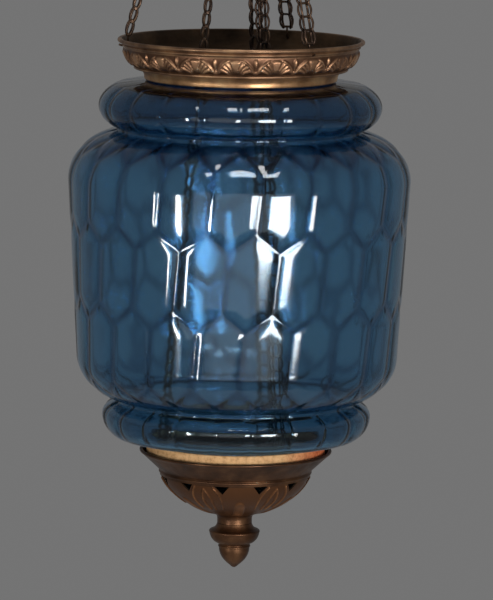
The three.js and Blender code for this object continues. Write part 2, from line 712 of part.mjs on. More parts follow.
// The radius of a hole that clears a round piece of some radius, whichever way their flats lie
function clearOf(radius) {
  return radius / Math.cos(Math.PI / FINE_ROUND) + SEAT_GAP;
}

function galleryRing() {
  const flange = clearOf(NECK_RADIUS) + SEAT_GAP;
  const ring = turnedBelowRim([
    ...galleryOutside(),
    [flange, COLLAR_DEPTH],
    [flange, FLANGE_TOP],
    ...galleryInside().reverse(),
  ], FINE_ROUND);
  const holes = CHAIN_SETS.map(([, azimuth]) => {
    const drill = new THREE.CylinderGeometry(RIM_HOLE_RADIUS, RIM_HOLE_RADIUS, 3 * RIM_BEAD, HOLE_ROUND);
    drill.rotateZ(Math.PI / 2).translate(FRIEZE_TOP_RADIUS, 0, -RIM_HOLE_DEPTH);
    return welded(drill.rotateZ(THREE.MathUtils.degToRad(azimuth)));
  });
  return cut(ring, holes);
}

// Split ring that sits on the gallery's flange and carries the lip of the glass
function splitRing() {
  const inner = clearOf(NECK_RADIUS);
  const outer = inner + SPLIT_RING_WIDTH;
  const ring = turnedBelowRim([
    [inner, SPLIT_RING_TOP], [outer, SPLIT_RING_TOP], [outer, SPLIT_RING_BOTTOM], [inner, SPLIT_RING_BOTTOM],
  ], FINE_ROUND);
  const cutter = new THREE.BoxGeometry(4 * SPLIT_RING_WIDTH, SPLIT_RING_CUT, 4 * SPLIT_RING_HEIGHT);
  cutter.translate(inner + SPLIT_RING_WIDTH / 2, 0, -SPLIT_RING_TOP);
  return cut(ring, [welded(cutter)]);
}

// The glass's outline between its crown and its foot ring, as quarters of ovals. The two notches end in a
// rounded floor where the ovals close in on each other.
function glassOutline(steps) {
  const upperFloor = UPPER_NOTCH_RADIUS + NOTCH_ROUND;
  const lowerFloor = LOWER_NOTCH_RADIUS + NOTCH_ROUND;
  const crown = [CROWN_RADIUS, CROWN_DEPTH];
  const upperBulge = [UPPER_BULGE_RADIUS, UPPER_BULGE_DEPTH];
  const upperNotch = [UPPER_NOTCH_RADIUS, UPPER_NOTCH_DEPTH];
  const bodyTop = [BODY_RADIUS, BODY_TOP];
  const bodyFoot = [BODY_FOOT_RADIUS, BODY_FOOT];
  const lowerNotch = [LOWER_NOTCH_RADIUS, LOWER_NOTCH_DEPTH];
  const lowerBulge = [LOWER_BULGE_RADIUS, LOWER_BULGE_DEPTH];
  const bulgeFoot = [LOWER_BULGE_RADIUS - LOWER_BULGE_ROUND, BULGE_FOOT];
  const above = (floor) => ([radius]) => radius > floor + LEAST_STEP;
  return {
    upperBulge: [
      crown,
      ...quarter(crown, upperBulge, true, 2, steps),
      ...quarter(upperBulge, upperNotch, false, 2, steps).filter(above(upperFloor)),
      [upperFloor, UPPER_NOTCH_DEPTH],
    ],
    body: [
      ...quarter(upperNotch, bodyTop, true, 2, steps).filter(above(upperFloor)),
      bodyFoot,
      ...quarter(bodyFoot, lowerNotch, false, 2, steps).filter(above(lowerFloor)),
    ],
    lowerBulge: [
      [lowerFloor, LOWER_NOTCH_DEPTH],
      ...quarter(lowerNotch, lowerBulge, true, 2, steps).filter(above(lowerFloor)),
      ...quarter(lowerBulge, bulgeFoot, false, 2, steps),
    ],
  };
}

// Rows of points down the outside of the glass. A whole seam number is a row of cells, counted from the top,
// and a half is the middle of the zigzag between two rows. The bulges take every other point round the glass.
function glassRows() {
  const { upperBulge, lowerBulge } = glassOutline(SHORT_CURVE_STEPS);
  const { body } = glassOutline(SMOOTH_STEPS);
  const bulgeRow = (seam, edge) => ([radius, depth]) => {
    const relief = depth === edge ? EDGE_RELIEF_SHARE : BULGE_RELIEF_SHARE;
    return { radius, depth, seam, relief, step: BULGE_STEP };
  };
  const seams = Array.from({ length: SEAMS }, (_, i) => FIRST_SEAM + i * ROW_PITCH);
  const onSeams = seams.flatMap((top, i) => [0, 0.5, 1].map((share) => (
    { depth: top + share * SEAM_HEIGHT, seam: i + share }
  )));
  const clear = (depth) => seams.every((top) => (
    depth < top - LEAST_STEP || depth > top + SEAM_HEIGHT + LEAST_STEP
  ));
  const between = [body[0][1], (FIRST_SEAM + SEAM_HEIGHT + BODY_TOP) / 2, BODY_TOP, BODY_FOOT]
    .filter(clear)
    .map((depth) => ({ depth, seam: seams.filter((top) => top < depth).length }));
  const onBody = [...onSeams, ...between]
    .sort((a, b) => a.depth - b.depth)
    .map(({ depth, seam }) => ({ radius: radiusAt(body, depth), depth, seam, relief: 1, step: 1 }));
  return [
    ...upperBulge.map(bulgeRow(0, CROWN_DEPTH)),
    ...onBody,
    ...lowerBulge.map(bulgeRow(SEAMS, BULGE_FOOT)),
  ];
}

// Height of a cell's pillow at a step round the glass: 0 in a groove and 1 on the middle of a cell
function pillow(seam, step) {
  const phase = step % STEPS_PER_CELL;
  const half = STEPS_PER_CELL / 2;
  const fromBorder = Math.min(phase, STEPS_PER_CELL - phase) / half;
  const border = 1 - Math.abs(1 - (seam % 2));
  return 1 - (1 - Math.abs(fromBorder - border)) ** 2;
}

// Position on the glass, with the slight twist that the pattern has from top to bottom
function onGlass(radius, depth, step) {
  const turned = TWIST * (Math.max(depth - FIRST_SEAM, 0) / (LAST_SEAM - FIRST_SEAM));
  const degrees = PATTERN_PHASE + (step / STEPS_PER_CELL) * (360 / CELLS) + turned;
  const angle = THREE.MathUtils.degToRad(degrees);
  return [radius * Math.sin(angle), -radius * Math.cos(angle), -depth];
}

// Honeycomb glass shade: fine rows outside with the cells on them, a smooth and coarser inside. Each ring
// of points is joined to the next one, and the last ring to the first.
function glassShade() {
  const steps = CELLS * STEPS_PER_CELL;
  const rows = glassRows();
  const directions = normals(rows.map(({ radius, depth }) => [radius, depth]));
  const rings = rows.map(({ radius, depth, seam, relief, step }, i) => {
    const [points, heights] = [[], []];
    for (let k = 0; k < steps; k += step) {
      const height = pillow(seam, k);
      const sink = CELL_RELIEF * relief * (1 - height);
      heights.push(height);
      points.push(onGlass(radius - directions[i][0] * sink, depth - directions[i][1] * sink, k));
    }
    return { points, heights };
  });
  const plain = ([radius, depth]) => {
    const points = [];
    for (let step = 0; step < steps; step += INNER_STEP) {
      points.push(onGlass(radius, depth, step));
    }
    return { points, heights: points.map(() => 0) };
  };
  const bore = NECK_RADIUS - GLASS_WALL;
  const footBore = FOOT_RADIUS - GLASS_WALL;
  const wall = inset(Object.values(glassOutline(SHORT_CURVE_STEPS)).flat(), GLASS_WALL);
  const inside = [
    [footBore, FOOT_DEPTH],
    [footBore, FOOT_DEPTH - GLASS_WALL],
    ...wall.filter(([radius]) => radius > footBore + GLASS_WALL).reverse(),
    [bore, CROWN_DEPTH + GLASS_WALL],
    [bore, LIP_TOP],
  ];
  const mouth = [
    [NECK_RADIUS + LIP_WIDTH, LIP_TOP],
    [NECK_RADIUS + LIP_WIDTH, LIP_UNDER],
    [NECK_RADIUS, LIP_UNDER],
    [NECK_RADIUS, CROWN_DEPTH],
  ];
  return ringLoft([...mouth.map(plain), ...rings, plain([FOOT_RADIUS, FOOT_DEPTH]), ...inside.map(plain)]);
}

// Closed skin over a loop of rings. Rings may have different counts of points, one a multiple of the other.
function ringLoft(rings) {
  const starts = [];
  const vertices = [];
  rings.forEach(({ points }) => {
    starts.push(vertices.length / 3);
    points.forEach((point) => vertices.push(...point));
  });
  const triangles = [];
  rings.forEach((ring, i) => {
    const j = (i + 1) % rings.length;
    const [here, there] = [ring.points.length, rings[j].points.length];
    const a = (k) => starts[i] + (k % here);
    const b = (k) => starts[j] + (k % there);
    if (here === there) {
      for (let k = 0; k < here; k += 1) {
        const next = (k + 1) % here;
        const alongFirst = ring.heights[k] + rings[j].heights[next];
        const alongSecond = ring.heights[next] + rings[j].heights[k];
        if (alongFirst < alongSecond) {
          triangles.push(a(k), b(k + 1), a(k + 1), a(k), b(k), b(k + 1));
        } else {
          triangles.push(a(k), b(k), a(k + 1), a(k + 1), b(k), b(k + 1));
        }
      }
      return;
    }
    const ratio = Math.max(here, there) / Math.min(here, there);
    const [coarse, fine, flip] = here < there ? [a, b, false] : [b, a, true];
    for (let k = 0; k < Math.min(here, there); k += 1) {
      const half = Math.ceil(ratio / 2);
      for (let m = 0; m < ratio; m += 1) {
        const corner = coarse(m < half ? k : k + 1);
        const edge = [fine(k * ratio + m), fine(k * ratio + m + 1)];
        triangles.push(corner, ...(flip ? edge.reverse() : edge));
      }
      const middle = fine(k * ratio + half);
      const pair = [coarse(k), coarse(k + 1)];
      triangles.push(...(flip ? pair.reverse() : pair).reverse(), middle);
    }
  });
  const geometry = new THREE.BufferGeometry();
  geometry.setAttribute('position', new THREE.Float32BufferAttribute(vertices, 3));
  geometry.setIndex(triangles);
  return welded(geometry);
}

// Outer chain: hooked through a hole in the gallery's wall, up to its pulley and over it
function outerRoute() {
  const wall = radiusAt(galleryInside(), RIM_HOLE_DEPTH);
  const foot = [wall - 1.5 * CHAIN_THICK, RIM_Z + 2 * CHAIN_RUNG];
  const start = contactAngle(foot, 1);
  const end = contactAngle(innerChainFoot(), -1) + TURN;
  return chainRoute(foot, start, (end - start) * CHAIN_CENTRE_RADIUS - CHAIN_RUNG);
}

function outerChain() {
  const route = outerRoute();
  const [reach, foot] = route.at(0).point;
  const wall = radiusAt(galleryInside(), RIM_HOLE_DEPTH);
  const outside = FRIEZE_TOP_RADIUS + LEDGE_OUT;
  const hole = RIM_Z - RIM_HOLE_DEPTH;
  const hook = bentWire([
    [reach, 0, foot],
    [reach, 0, RIM_Z - RIM_BEAD / 2],
    [reach + 0.2 * CHAIN_THICK, 0, hole + 1.5 * RIM_WIRE],
    [wall, 0, hole],
    [outside, 0, hole - 0.2 * RIM_WIRE],
    [outside + 2 * RIM_WIRE, 0, hole + 0.2 * RIM_WIRE],
    [outside + 4 * RIM_WIRE, 0, hole + RIM_WIRE],
  ], RIM_WIRE, 2 * CURVE_STEPS);
  return joined(ladderChain(route), hook);
}

// Inner chain: its lowest rung lies in the eye of a lug, and it ends beside its pulley
function innerChainFoot() {
  return [LUG_REACH, RIM_Z - lugLevels().eye];
}

function innerChain() {
  const foot = innerChainFoot();
  const route = chainRoute(foot, contactAngle(foot, -1) + TURN, -CHAIN_RUNG);
  return ladderChain(route);
}

// The cup's outside, from its lip down to the foot of its neck
function cupOutside() {
  const lipFoot = [CUP_RADIUS - CUP_LIP / 4, CUP_DEPTH + CUP_LIP];
  const bead = [BEAD_RADIUS, BEAD_DEPTH];
  const coveFoot = [BEAD_RADIUS - BEAD_HEIGHT / 4, BEAD_DEPTH - BEAD_HEIGHT / 2];
  const bowlTop = [BEAD_RADIUS - BEAD_HEIGHT / 2, BEAD_DEPTH + BEAD_HEIGHT];
  const belly = [BELLY_RADIUS, BEAD_DEPTH + BELLY_DROP];
  const bowlFoot = [BOWL_FOOT_RADIUS, BOWL_FOOT];
  return [
    [CUP_RADIUS - CUP_LIP / 2, CUP_DEPTH],
    [CUP_RADIUS, CUP_DEPTH + CUP_LIP / 3],
    lipFoot,
    ...bow(lipFoot, [COVE_RADIUS, CUP_DEPTH + COVE_DROP], coveFoot, SHORT_CURVE_STEPS),
    bead,
    bowlTop,
    ...bow(bowlTop, belly, bowlFoot, CURVE_STEPS),
    [CUP_NECK_RADIUS, (BOWL_FOOT + NECK_FOOT) / 2],
    [CUP_NECK_RADIUS, NECK_FOOT],
  ];
}

// The cup's inside, from its lip down to its flat floor
function cupInside() {
  const bowl = cupOutside().filter(([radius]) => radius > FLOOR_RADIUS + CUP_LIP);
  const inner = inset(bowl, CUP_WALL);
  return [
    [CUP_RADIUS - CUP_LIP / 2 - CUP_WALL, CUP_DEPTH],
    ...inner.filter(([, depth]) => depth > CUP_DEPTH + CUP_LIP / 2 && depth < FLOOR_DEPTH - CUP_WALL),
    [FLOOR_RADIUS, FLOOR_DEPTH],
  ];
}

function bottomCup() {
  const cup = turnedBelowRim([
    ...cupOutside(),
    [ROD_BORE, NECK_FOOT],
    [ROD_BORE, FLOOR_DEPTH],
    ...cupInside().reverse(),
  ], FINE_ROUND);
  const top = BEAD_DEPTH + PIERCED_DROP;
  const holes = [];
  for (let i = 0; i < PIERCED_HOLES; i += 1) {
    const triangle = new THREE.Shape();
    triangle.moveTo(-PIERCED_WIDTH / 2, 0);
    triangle.lineTo(0, -PIERCED_HEIGHT);
    triangle.lineTo(PIERCED_WIDTH / 2, 0);
    const punch = new THREE.ExtrudeGeometry(triangle, { depth: CUP_RADIUS, bevelEnabled: false });
    punch.rotateX(Math.PI / 2).translate(0, -FLOOR_RADIUS, -top);
    holes.push(welded(punch.rotateZ(THREE.MathUtils.degToRad(PIERCED_PHASE) + (i / PIERCED_HOLES) * TURN)));
  }
  return cut(cup, holes);
}

// Where the cork ring comes to rest on the narrowing wall of the cup
function seatRingBottom() {
  const wall = cupInside();
  const target = clearOf(SEAT_RING_RADIUS);
  const next = wall.findIndex(([radius]) => radius <= target);
  const [[r0, d0], [r1, d1]] = [wall[next - 1], wall[next]];
  return d0 + (d1 - d0) * ((r0 - target) / (r0 - r1));
}

// Cork ring: stands in the mouth of the cup, and the foot of the glass comes down on it
function seatRing() {
  const outer = SEAT_RING_RADIUS;
  const inner = outer - SEAT_RING_WIDTH;
  const bottom = seatRingBottom();
  return turnedBelowRim([[inner, SEAT_RING_TOP], [outer, SEAT_RING_TOP], [outer, bottom], [inner, bottom]],
    FINE_ROUND);
}

function lugLevels() {
  const eye = seatRingBottom() + SEAT_GAP;
  const top = seatRingBottom() + LUG_DROP;
  return { eye, top, foot: top + LUG_HEIGHT };
}

// Lug: a plate on edge that follows the cup's wall, with an eye for the chain's lowest rung
function cupLug() {
  const { eye, top, foot } = lugLevels();
  const wall = cupInside().map(([radius, depth]) => [radius * Math.cos(Math.PI / FINE_ROUND), depth]);
  const bends = wall.map(([, depth]) => depth).filter((depth) => depth > top && depth < foot);
  const shape = new THREE.Shape();
  shape.moveTo(radiusAt(wall, top) - SEAT_GAP, -top);
  [...bends, foot].forEach((depth) => shape.lineTo(radiusAt(wall, depth) - SEAT_GAP, -depth));
  shape.lineTo(LUG_REACH - LUG_RIM, -(top + foot) / 2);
  shape.absarc(LUG_REACH, -eye, LUG_RIM, Math.PI, 0, true);
  shape.holes.push(new THREE.Path().absarc(LUG_REACH, -eye, LUG_EYE_RADIUS, 0, TURN));
  return radialPlate(shape, LUG_THICK);
}

function dripPan() {
  const underside = [
    [PAN_HUB, PAN_BOTTOM],
    ...bow([PAN_HUB, PAN_BOTTOM], [PAN_RADIUS - PAN_RISE / 2, PAN_BOTTOM],
      [PAN_RADIUS, PAN_BOTTOM - PAN_RISE], SHORT_CURVE_STEPS),
  ];
  const topside = underside.map(([radius, depth]) => [radius, depth - PAN_THICK]);
  return turnedBelowRim([
    [ROD_BORE, PAN_BOTTOM],
    ...underside,
    ...topside.reverse(),
    [ROD_BORE, PAN_BOTTOM - PAN_THICK],
  ], ROUND);
}

function candleNozzle() {
  const socket = SOCKET_RADIUS + SOCKET_WALL;
  const waistFoot = NOZZLE_BOTTOM - NOZZLE_FOOT - NOZZLE_TAPER;
  const waistTop = NOZZLE_SHELF + SOCKET_WALL + NOZZLE_TAPER;
  return turnedBelowRim([
    [ROD_BORE, NOZZLE_BOTTOM],
    [NOZZLE_BASE_RADIUS, NOZZLE_BOTTOM],
    [NOZZLE_BASE_RADIUS, NOZZLE_BOTTOM - NOZZLE_FOOT],
    [NOZZLE_WAIST, waistFoot],
    [NOZZLE_WAIST, waistTop],
    [socket, NOZZLE_SHELF + SOCKET_WALL],
    [socket, NOZZLE_TOP + SOCKET_FLARE],
    [socket + SOCKET_FLARE, NOZZLE_TOP],
    [SOCKET_RADIUS + SOCKET_FLARE, NOZZLE_TOP],
    [SOCKET_RADIUS, NOZZLE_TOP + SOCKET_FLARE],
    [SOCKET_RADIUS, NOZZLE_SHELF],
    [ROD_BORE, NOZZLE_SHELF],
  ], SMALL_ROUND);
}

function threadedRod() {
  const top = NOZZLE_BOTTOM - ROD_GRIP;
  const bottom = FINIAL_TOP + ROD_GRIP;
  return turnedBelowRim([[0, top], [ROD_RADIUS, top], [ROD_RADIUS, bottom], [0, bottom]], SMALL_ROUND);
}

// Finial: a flared knop over an acorn, bored from above for the rod
function finial() {
  const boreFoot = FINIAL_TOP + ROD_GRIP + SEAT_GAP;
  const widest = FINIAL_TOP + KNOP_WIDEST;
  const knopFoot = FINIAL_TOP + KNOP_HEIGHT;
  const tip = knopFoot + ACORN_HEIGHT;
  const knop = [KNOP_RADIUS, widest];
  const knopUnder = [KNOP_RADIUS - KNOP_EDGE / 3, widest + KNOP_EDGE];
  const waist = [ACORN_RADIUS + ACORN_GROOVE, knopFoot];
  const acornTop = [ACORN_RADIUS - ACORN_GROOVE / 2, knopFoot + 4 * ACORN_GROOVE];
  const acornBelly = [ACORN_RADIUS - ACORN_GROOVE, knopFoot + ACORN_HEIGHT / 2];
  const acornFoot = [ACORN_TIP_RADIUS, tip - ACORN_TIP_RADIUS / 2];
  return turnedBelowRim([
    [0, boreFoot],
    [ROD_BORE, boreFoot],
    [ROD_BORE, FINIAL_TOP],
    [CUP_NECK_RADIUS, FINIAL_TOP],
    ...bow([CUP_NECK_RADIUS, FINIAL_TOP], [CUP_NECK_RADIUS + KNOP_EDGE, widest - KNOP_EDGE], knop,
      SHORT_CURVE_STEPS),
    knopUnder,
    ...bow(knopUnder, [KNOP_RADIUS - KNOP_EDGE, knopFoot - 2 * KNOP_EDGE], waist, SHORT_CURVE_STEPS),
    [ACORN_RADIUS - ACORN_GROOVE, knopFoot + ACORN_GROOVE],
    [ACORN_RADIUS, knopFoot + 2 * ACORN_GROOVE],
    acornTop,
    ...bow(acornTop, acornBelly, acornFoot, SHORT_CURVE_STEPS),
    [0, tip],
  ], ROUND);
}

// Assembly: fixed pieces from the ceiling down, then what hangs from the gallery and what hangs on the cup
const lamp = new THREE.Group();

function place(parent, name, geometry, material) {
  const mesh = new THREE.Mesh(geometry, material);
  mesh.name = name;
  parent.add(mesh);
  return mesh;
}

place(lamp, 'ceiling_plate', ceilingPlate(), agedBrass);
place(lamp, 'hook_nut', hookNut(), agedBrass);
place(lamp, 'ceiling_hook', ceilingHook(), darkBrass);
place(lamp, 'suspension_link', suspensionLink(), darkBrass);
place(lamp, 'canopy_loop', canopyLoop(), agedBrass);
place(lamp, 'canopy_bell', canopyBell(), agedBrass);
place(lamp, 'pulley_frame', pulleyFrame(), darkBrass);

for (const [name, azimuth] of CHAIN_SETS) {
  const set = new THREE.Group();
  set.rotation.z = THREE.MathUtils.degToRad(azimuth);
  place(set, `pulley_pin_${name}`, pulleyPin(), steel);
  place(set, `pulley_wheel_${name}`, pulleyWheel(), wheelBrass);
  place(set, `outer_chain_${name}`, outerChain(), chainBrass);
  place(set, `inner_chain_${name}`, innerChain(), chainBrass);
  place(set, `cup_lug_${name}`, cupLug(), darkBrass).position.z = RIM_Z;
  lamp.add(set);
}

const belowRim = new THREE.Group();
belowRim.position.z = RIM_Z;
place(belowRim, 'gallery_ring', galleryRing(), agedBrass);
place(belowRim, 'split_ring', splitRing(), steel);
place(belowRim, 'glass_shade', glassShade(), blueGlass);
place(belowRim, 'seat_ring', seatRing(), cork);
place(belowRim, 'bottom_cup', bottomCup(), darkBrass);
place(belowRim, 'drip_pan', dripPan(), agedBrass);
place(belowRim, 'candle_nozzle', candleNozzle(), agedBrass);
place(belowRim, 'threaded_rod', threadedRod(), steel);
place(belowRim, 'finial', finial(), darkBrass);
lamp.add(belowRim);

export default lamp;
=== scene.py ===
"""Looks of a hall lantern: blue honeycomb glass in aged brass, on ladder chains.

Lengths below are in millimetres and depths are measured downwards from the rim of the gallery, the
brass ring on top of the glass. MM turns them into metres when a mesh is made. Azimuths are in degrees:
0 faces the camera and positive ones turn to the right.
"""

import math

import bmesh
import bpy
import numpy as np
from mathutils import Matrix, Vector


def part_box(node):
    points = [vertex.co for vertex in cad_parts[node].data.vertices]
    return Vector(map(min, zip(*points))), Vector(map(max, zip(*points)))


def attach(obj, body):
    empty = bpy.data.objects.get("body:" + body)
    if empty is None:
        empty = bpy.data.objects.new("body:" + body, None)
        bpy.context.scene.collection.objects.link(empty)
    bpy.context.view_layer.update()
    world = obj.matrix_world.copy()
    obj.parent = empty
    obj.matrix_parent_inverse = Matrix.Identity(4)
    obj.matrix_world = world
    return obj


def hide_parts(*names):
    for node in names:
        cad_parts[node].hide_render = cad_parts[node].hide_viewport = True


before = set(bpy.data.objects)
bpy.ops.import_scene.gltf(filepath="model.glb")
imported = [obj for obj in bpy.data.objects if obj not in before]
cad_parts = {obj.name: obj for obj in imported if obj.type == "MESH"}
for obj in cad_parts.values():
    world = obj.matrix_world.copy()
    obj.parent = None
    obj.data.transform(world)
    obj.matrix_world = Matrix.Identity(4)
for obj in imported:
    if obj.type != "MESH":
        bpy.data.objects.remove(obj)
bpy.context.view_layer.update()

MM = 0.001
RIM_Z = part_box("gallery_ring")[1].z / MM

# Camera and surroundings
CAMERA_DISTANCE = 3300
CAMERA_ABOVE_RIM = 282.4
CAMERA_SIDE = 6.5
CAMERA_PITCH = 8.2
CAMERA_ROLL = 0.84
FIELD_OF_VIEW = 7.6
BACKDROP_GREY = 0.173
ROOM_GREY = 0.15
FLOOR_BELOW_TIP = 1500
FLOOR_SIZE = 3200
LIT_DEPTH = 165  # the lights face the axis at this depth

# Gallery. Pairs are (radius, depth)
RIM_RADIUS = 90.7
RIM_BEAD = 3.0
FRIEZE_TOP = (86.3, 6.6)
FRIEZE_FOOT = (77.7, 19.9)
FRIEZE_POWER = 1.7  # of the superellipse that the frieze's profile follows
COLLAR = (70.1, 30.0)
SHEET = 1.2
FLANGE_RADIUS = 62.6  # of the hole for the glass
PALMETTES = 18
PALMETTE_STEPS = 44  # columns of mesh to each palmette
PALMETTE_PHASE = -2.6
PALMETTE_ROOT = 1.5  # the ribs fan out from this far below the frieze
FRIEZE_RELIEF = 1.3
MIDDLE_LOBE = 17  # degrees from upright to its edge
SIDE_RIBS = (26, 41, 56)  # degrees from upright
SIDE_RIB_HALF = 6.5

# Glass
GLASS_WALL = 3.6
NECK_RADIUS = 61.5
LIP = (65.5, 20.7, 24.2)  # radius, top and foot
CROWN = (75.3, 30.3)
UPPER_BULGE = (104.2, 49.6)
UPPER_NOTCH = (82.6, 66.4)
BODY_TOP = (126.0, 103.5)
BODY_FOOT = (118.7, 232.9)
LOWER_NOTCH = (79.9, 266.5)
LOWER_BULGE = (99.3, 278.0)
LOWER_BULGE_ROUND = 17.8
NOTCH_ROUND = 7.8
FOOT = (65.8, 298.4)
CELLS = 21
CELL_STEPS = 28  # columns of mesh to each cell
ROWS = 5
PATTERN_RADIUS = 118.0  # at which the cells are laid out
ROW_PITCH = 58.0
FIRST_SEAM = 71.0  # depth at which the first row ends
SEAM_HEIGHT = 14.0  # of a slanting groove
CELL_RELIEF = 1.8
PILLOW_POWER = 5.5  # how steeply a groove's sides fall
SEAM_SOFTNESS = 0.08  # roundness of a groove's floor, as a share of half a cell
INSIDE_SHARE = 0.9  # of the relief that the inner face has too
# The deeper blue along each groove is a painted shade line.
SEAM_LINE = 3.3  # half width of the deeper blue along a groove
PATTERN_PHASE = 0.5
TWIST = -0.048  # degrees for each millimetre downwards
GLASS_BODY_COLOUR = (0.0, 0.56, 0.77, 1)
GLASS_DENSITY = 133  # in one metre of glass

# Bottom cup and finial
CUP_LIP = (71.2, 304.4)
COVE_CONTROL = (60.6, 315.4)
CUP_BEAD = (56.8, 321.1)
BOWL_CONTROL = (47.5, 343.1)
BOWL_FOOT = (15.3, 353.0)
CUP_NECK = (12.9, 359.9)
CUP_WALL = 1.4
CUP_FLOOR = (20.0, 345.0)
ROD_BORE = 3.3
PIERCED_HOLES = 12
PIERCED_PHASE = 20.0
PIERCED_TOP = 323.5
PIERCED_WIDTH = 11.0
PIERCED_HEIGHT = 6.4
PIERCED_REACH = (44, 64)  # radii between which a hole is cut
LEAVES = 6
LEAF_PHASE = 5.0
# Each line's top and foot are (azimuth from the leaf's middle, depth), with the bend's azimuth between
LEAF_LINES = (((22.5, 324.5), 14.5, (17.7, 343.0)), ((30.0, 326.0), 24.0, (27.0, 344.0)))
LEAF_LINE_HALF = 0.7
LEAF_LINE_HEIGHT = 0.9
TONGUE_HEAD = 341.0
TONGUE_FOOT = 352.0
TONGUE_HALF = 3.7
TONGUE_HEIGHT = 0.8
CUP_COLUMNS = 540
SEAT_WIDTH = 4.0
SEAT_SOFTNESS = 0.5  # of the cork ring's edges
KNOP = (18.9, 365.9)
KNOP_FOOT = (12.6, 375.4)
ACORN_RADIUS = 12.0
TIP_DEPTH = 394.2

# Pulleys, and the ladder chains between them and the lamp
WHEEL_RADIUS = 11.5
PULLEY_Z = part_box("pulley_wheel_left")[0].z / MM + WHEEL_RADIUS
PULLEY_CIRCLE = 18.5  # from the lamp's axis to each pulley's
CHAIN_CENTRE_RADIUS = 10.05  # of a chain on its wheel
OUTER_FOOT = (83.3, 3.0)
INNER_FOOT = (56.2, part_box("seat_ring")[0].z / MM - RIM_Z - 0.3)
CHAIN_SPARE = 1.5  # by which a run stops short of its end
CHAIN_WIDTH = 10.3
CHAIN_WIRE = 0.9
LOOP_WIDE = 2.1  # half of a loop's depth
LOOP_ON_WHEEL = 1.0  # the same near a pulley wheel
LOOP_OVERLAP = 0.9  # by which a loop reaches past its rungs
LOOP_LEAN = 1.5  # by which a loop draws in at its ends
LOOP_STEPS = 14
RUNG_BOW = 0.6
CHAIN_PITCH = 10.0
CHAIN_AZIMUTHS = {"left": 186, "front": 306, "back": 66}
WIRE_SIDES = 6
HOOK_WIRE = 0.75
HOOK_HOLE_DEPTH = 5.3

# Bell and suspension link
BELL_CROWN = 12.0
BELL_WAIST = 47.1
SPIGOT_BORE = 4.4
LINK_BEND = 10.75  # from the ring's centre to the middle of its wire
LINK_WIRE = 1.74


def rgb(red, green, blue):
    """A colour written as 0 to 255 screen values, as the linear colour that a shader takes."""
    def linear(value):
        share = value / 255
        return share / 12.92 if share <= 0.04045 else ((share + 0.055) / 1.055) ** 2.4
    return (linear(red), linear(green), linear(blue), 1)


def rise(value, low, high):
    """0 up to low and 1 from high onwards, with a smooth step between them."""
    share = np.clip((value - low) / (high - low), 0, 1)
    return share * share * (3 - 2 * share)


def fall(value, low, high):
    """1 up to low and 0 from high onwards, with a smooth step between them."""
    return rise(-value, -high, -low)


# Node materials

def new_material(name):
    material = bpy.data.materials.new(name)
    material.use_nodes = True
    tree = material.node_tree
    return material, tree, tree.nodes["Principled BSDF"]


def add_node(tree, kind, **inputs):
    node = tree.nodes.new(kind)
    for name, value in inputs.items():
        node.inputs[name.replace("_", " ")].default_value = value
    return node


def noise(tree, scale, detail=4.0, roughness=0.6, stretch=None):
    """Noise in the object's own coordinates, drawn out along the axes that stretch makes small."""
    texture = add_node(tree, "ShaderNodeTexNoise", Scale=scale, Detail=detail, Roughness=roughness)
    coordinates = tree.nodes.new("ShaderNodeTexCoord")
    source = coordinates.outputs["Object"]
    if stretch:
        mapping = add_node(tree, "ShaderNodeMapping", Scale=stretch)
        tree.links.new(source, mapping.inputs["Vector"])
        source = mapping.outputs["Vector"]
    tree.links.new(source, texture.inputs["Vector"])
    return texture.outputs["Fac"]


def ramp(tree, factor, stops):
    node = tree.nodes.new("ShaderNodeValToRGB")
    elements = node.color_ramp.elements
    while len(elements) < len(stops):
        elements.new(0.5)
    for element, (position, colour) in zip(elements, stops):
        element.position = position
        element.color = colour
    tree.links.new(factor, node.inputs["Fac"])
    return node.outputs["Color"]


def bump(tree, shader, height, strength, distance):
    node = add_node(tree, "ShaderNodeBump", Strength=strength, Distance=distance)
    tree.links.new(height, node.inputs["Height"])
    tree.links.new(node.outputs["Normal"], shader.inputs["Normal"])


def grey(value):
    return (value, value, value, 1)


def stored(tree, name):
    """A value that the mesh stores for each of its points."""
    node = tree.nodes.new("ShaderNodeAttribute")
    node.attribute_name = name
    return node.outputs["Fac"]


def mix_colours(tree, share, first, second):
    """Blends two colours by a share. Each colour is an output of another node or a fixed value."""
    node = tree.nodes.new("ShaderNodeMix")
    node.data_type = "RGBA"
    tree.links.new(share, node.inputs[0])
    for socket, colour in ((node.inputs[6], first), (node.inputs[7], second)):
        if isinstance(colour, tuple):
            socket.default_value = colour
        else:
            tree.links.new(colour, socket)
    return node.outputs[2]


def brass_material(name, dark, main, bright, roughness=(0.3, 0.5), recess=None):
    """Aged brass: patches of patina, a little worn metal on top of them, and fine pits. Where a recess
    colour is given, it lies wherever the mesh's relief is low."""
    material, tree, shader = new_material(name)
    shader.inputs["Metallic"].default_value = 0.85
    patches = noise(tree, 45, detail=6, roughness=0.62)
    colour = ramp(tree, patches, [(0.3, dark), (0.52, main), (0.75, bright)])
    if recess:
        colour = mix_colours(tree, stored(tree, "relief"), recess, colour)
    tree.links.new(colour, shader.inputs["Base Color"])
    grain = noise(tree, 160, detail=5, roughness=0.7)
    shine = ramp(tree, grain, [(0.3, grey(roughness[0])), (0.7, grey(roughness[1]))])
    tree.links.new(shine, shader.inputs["Roughness"])
    pits = noise(tree, 700, detail=3, roughness=0.6)
    bump(tree, shader, pits, 0.18, 0.0004)
    return material


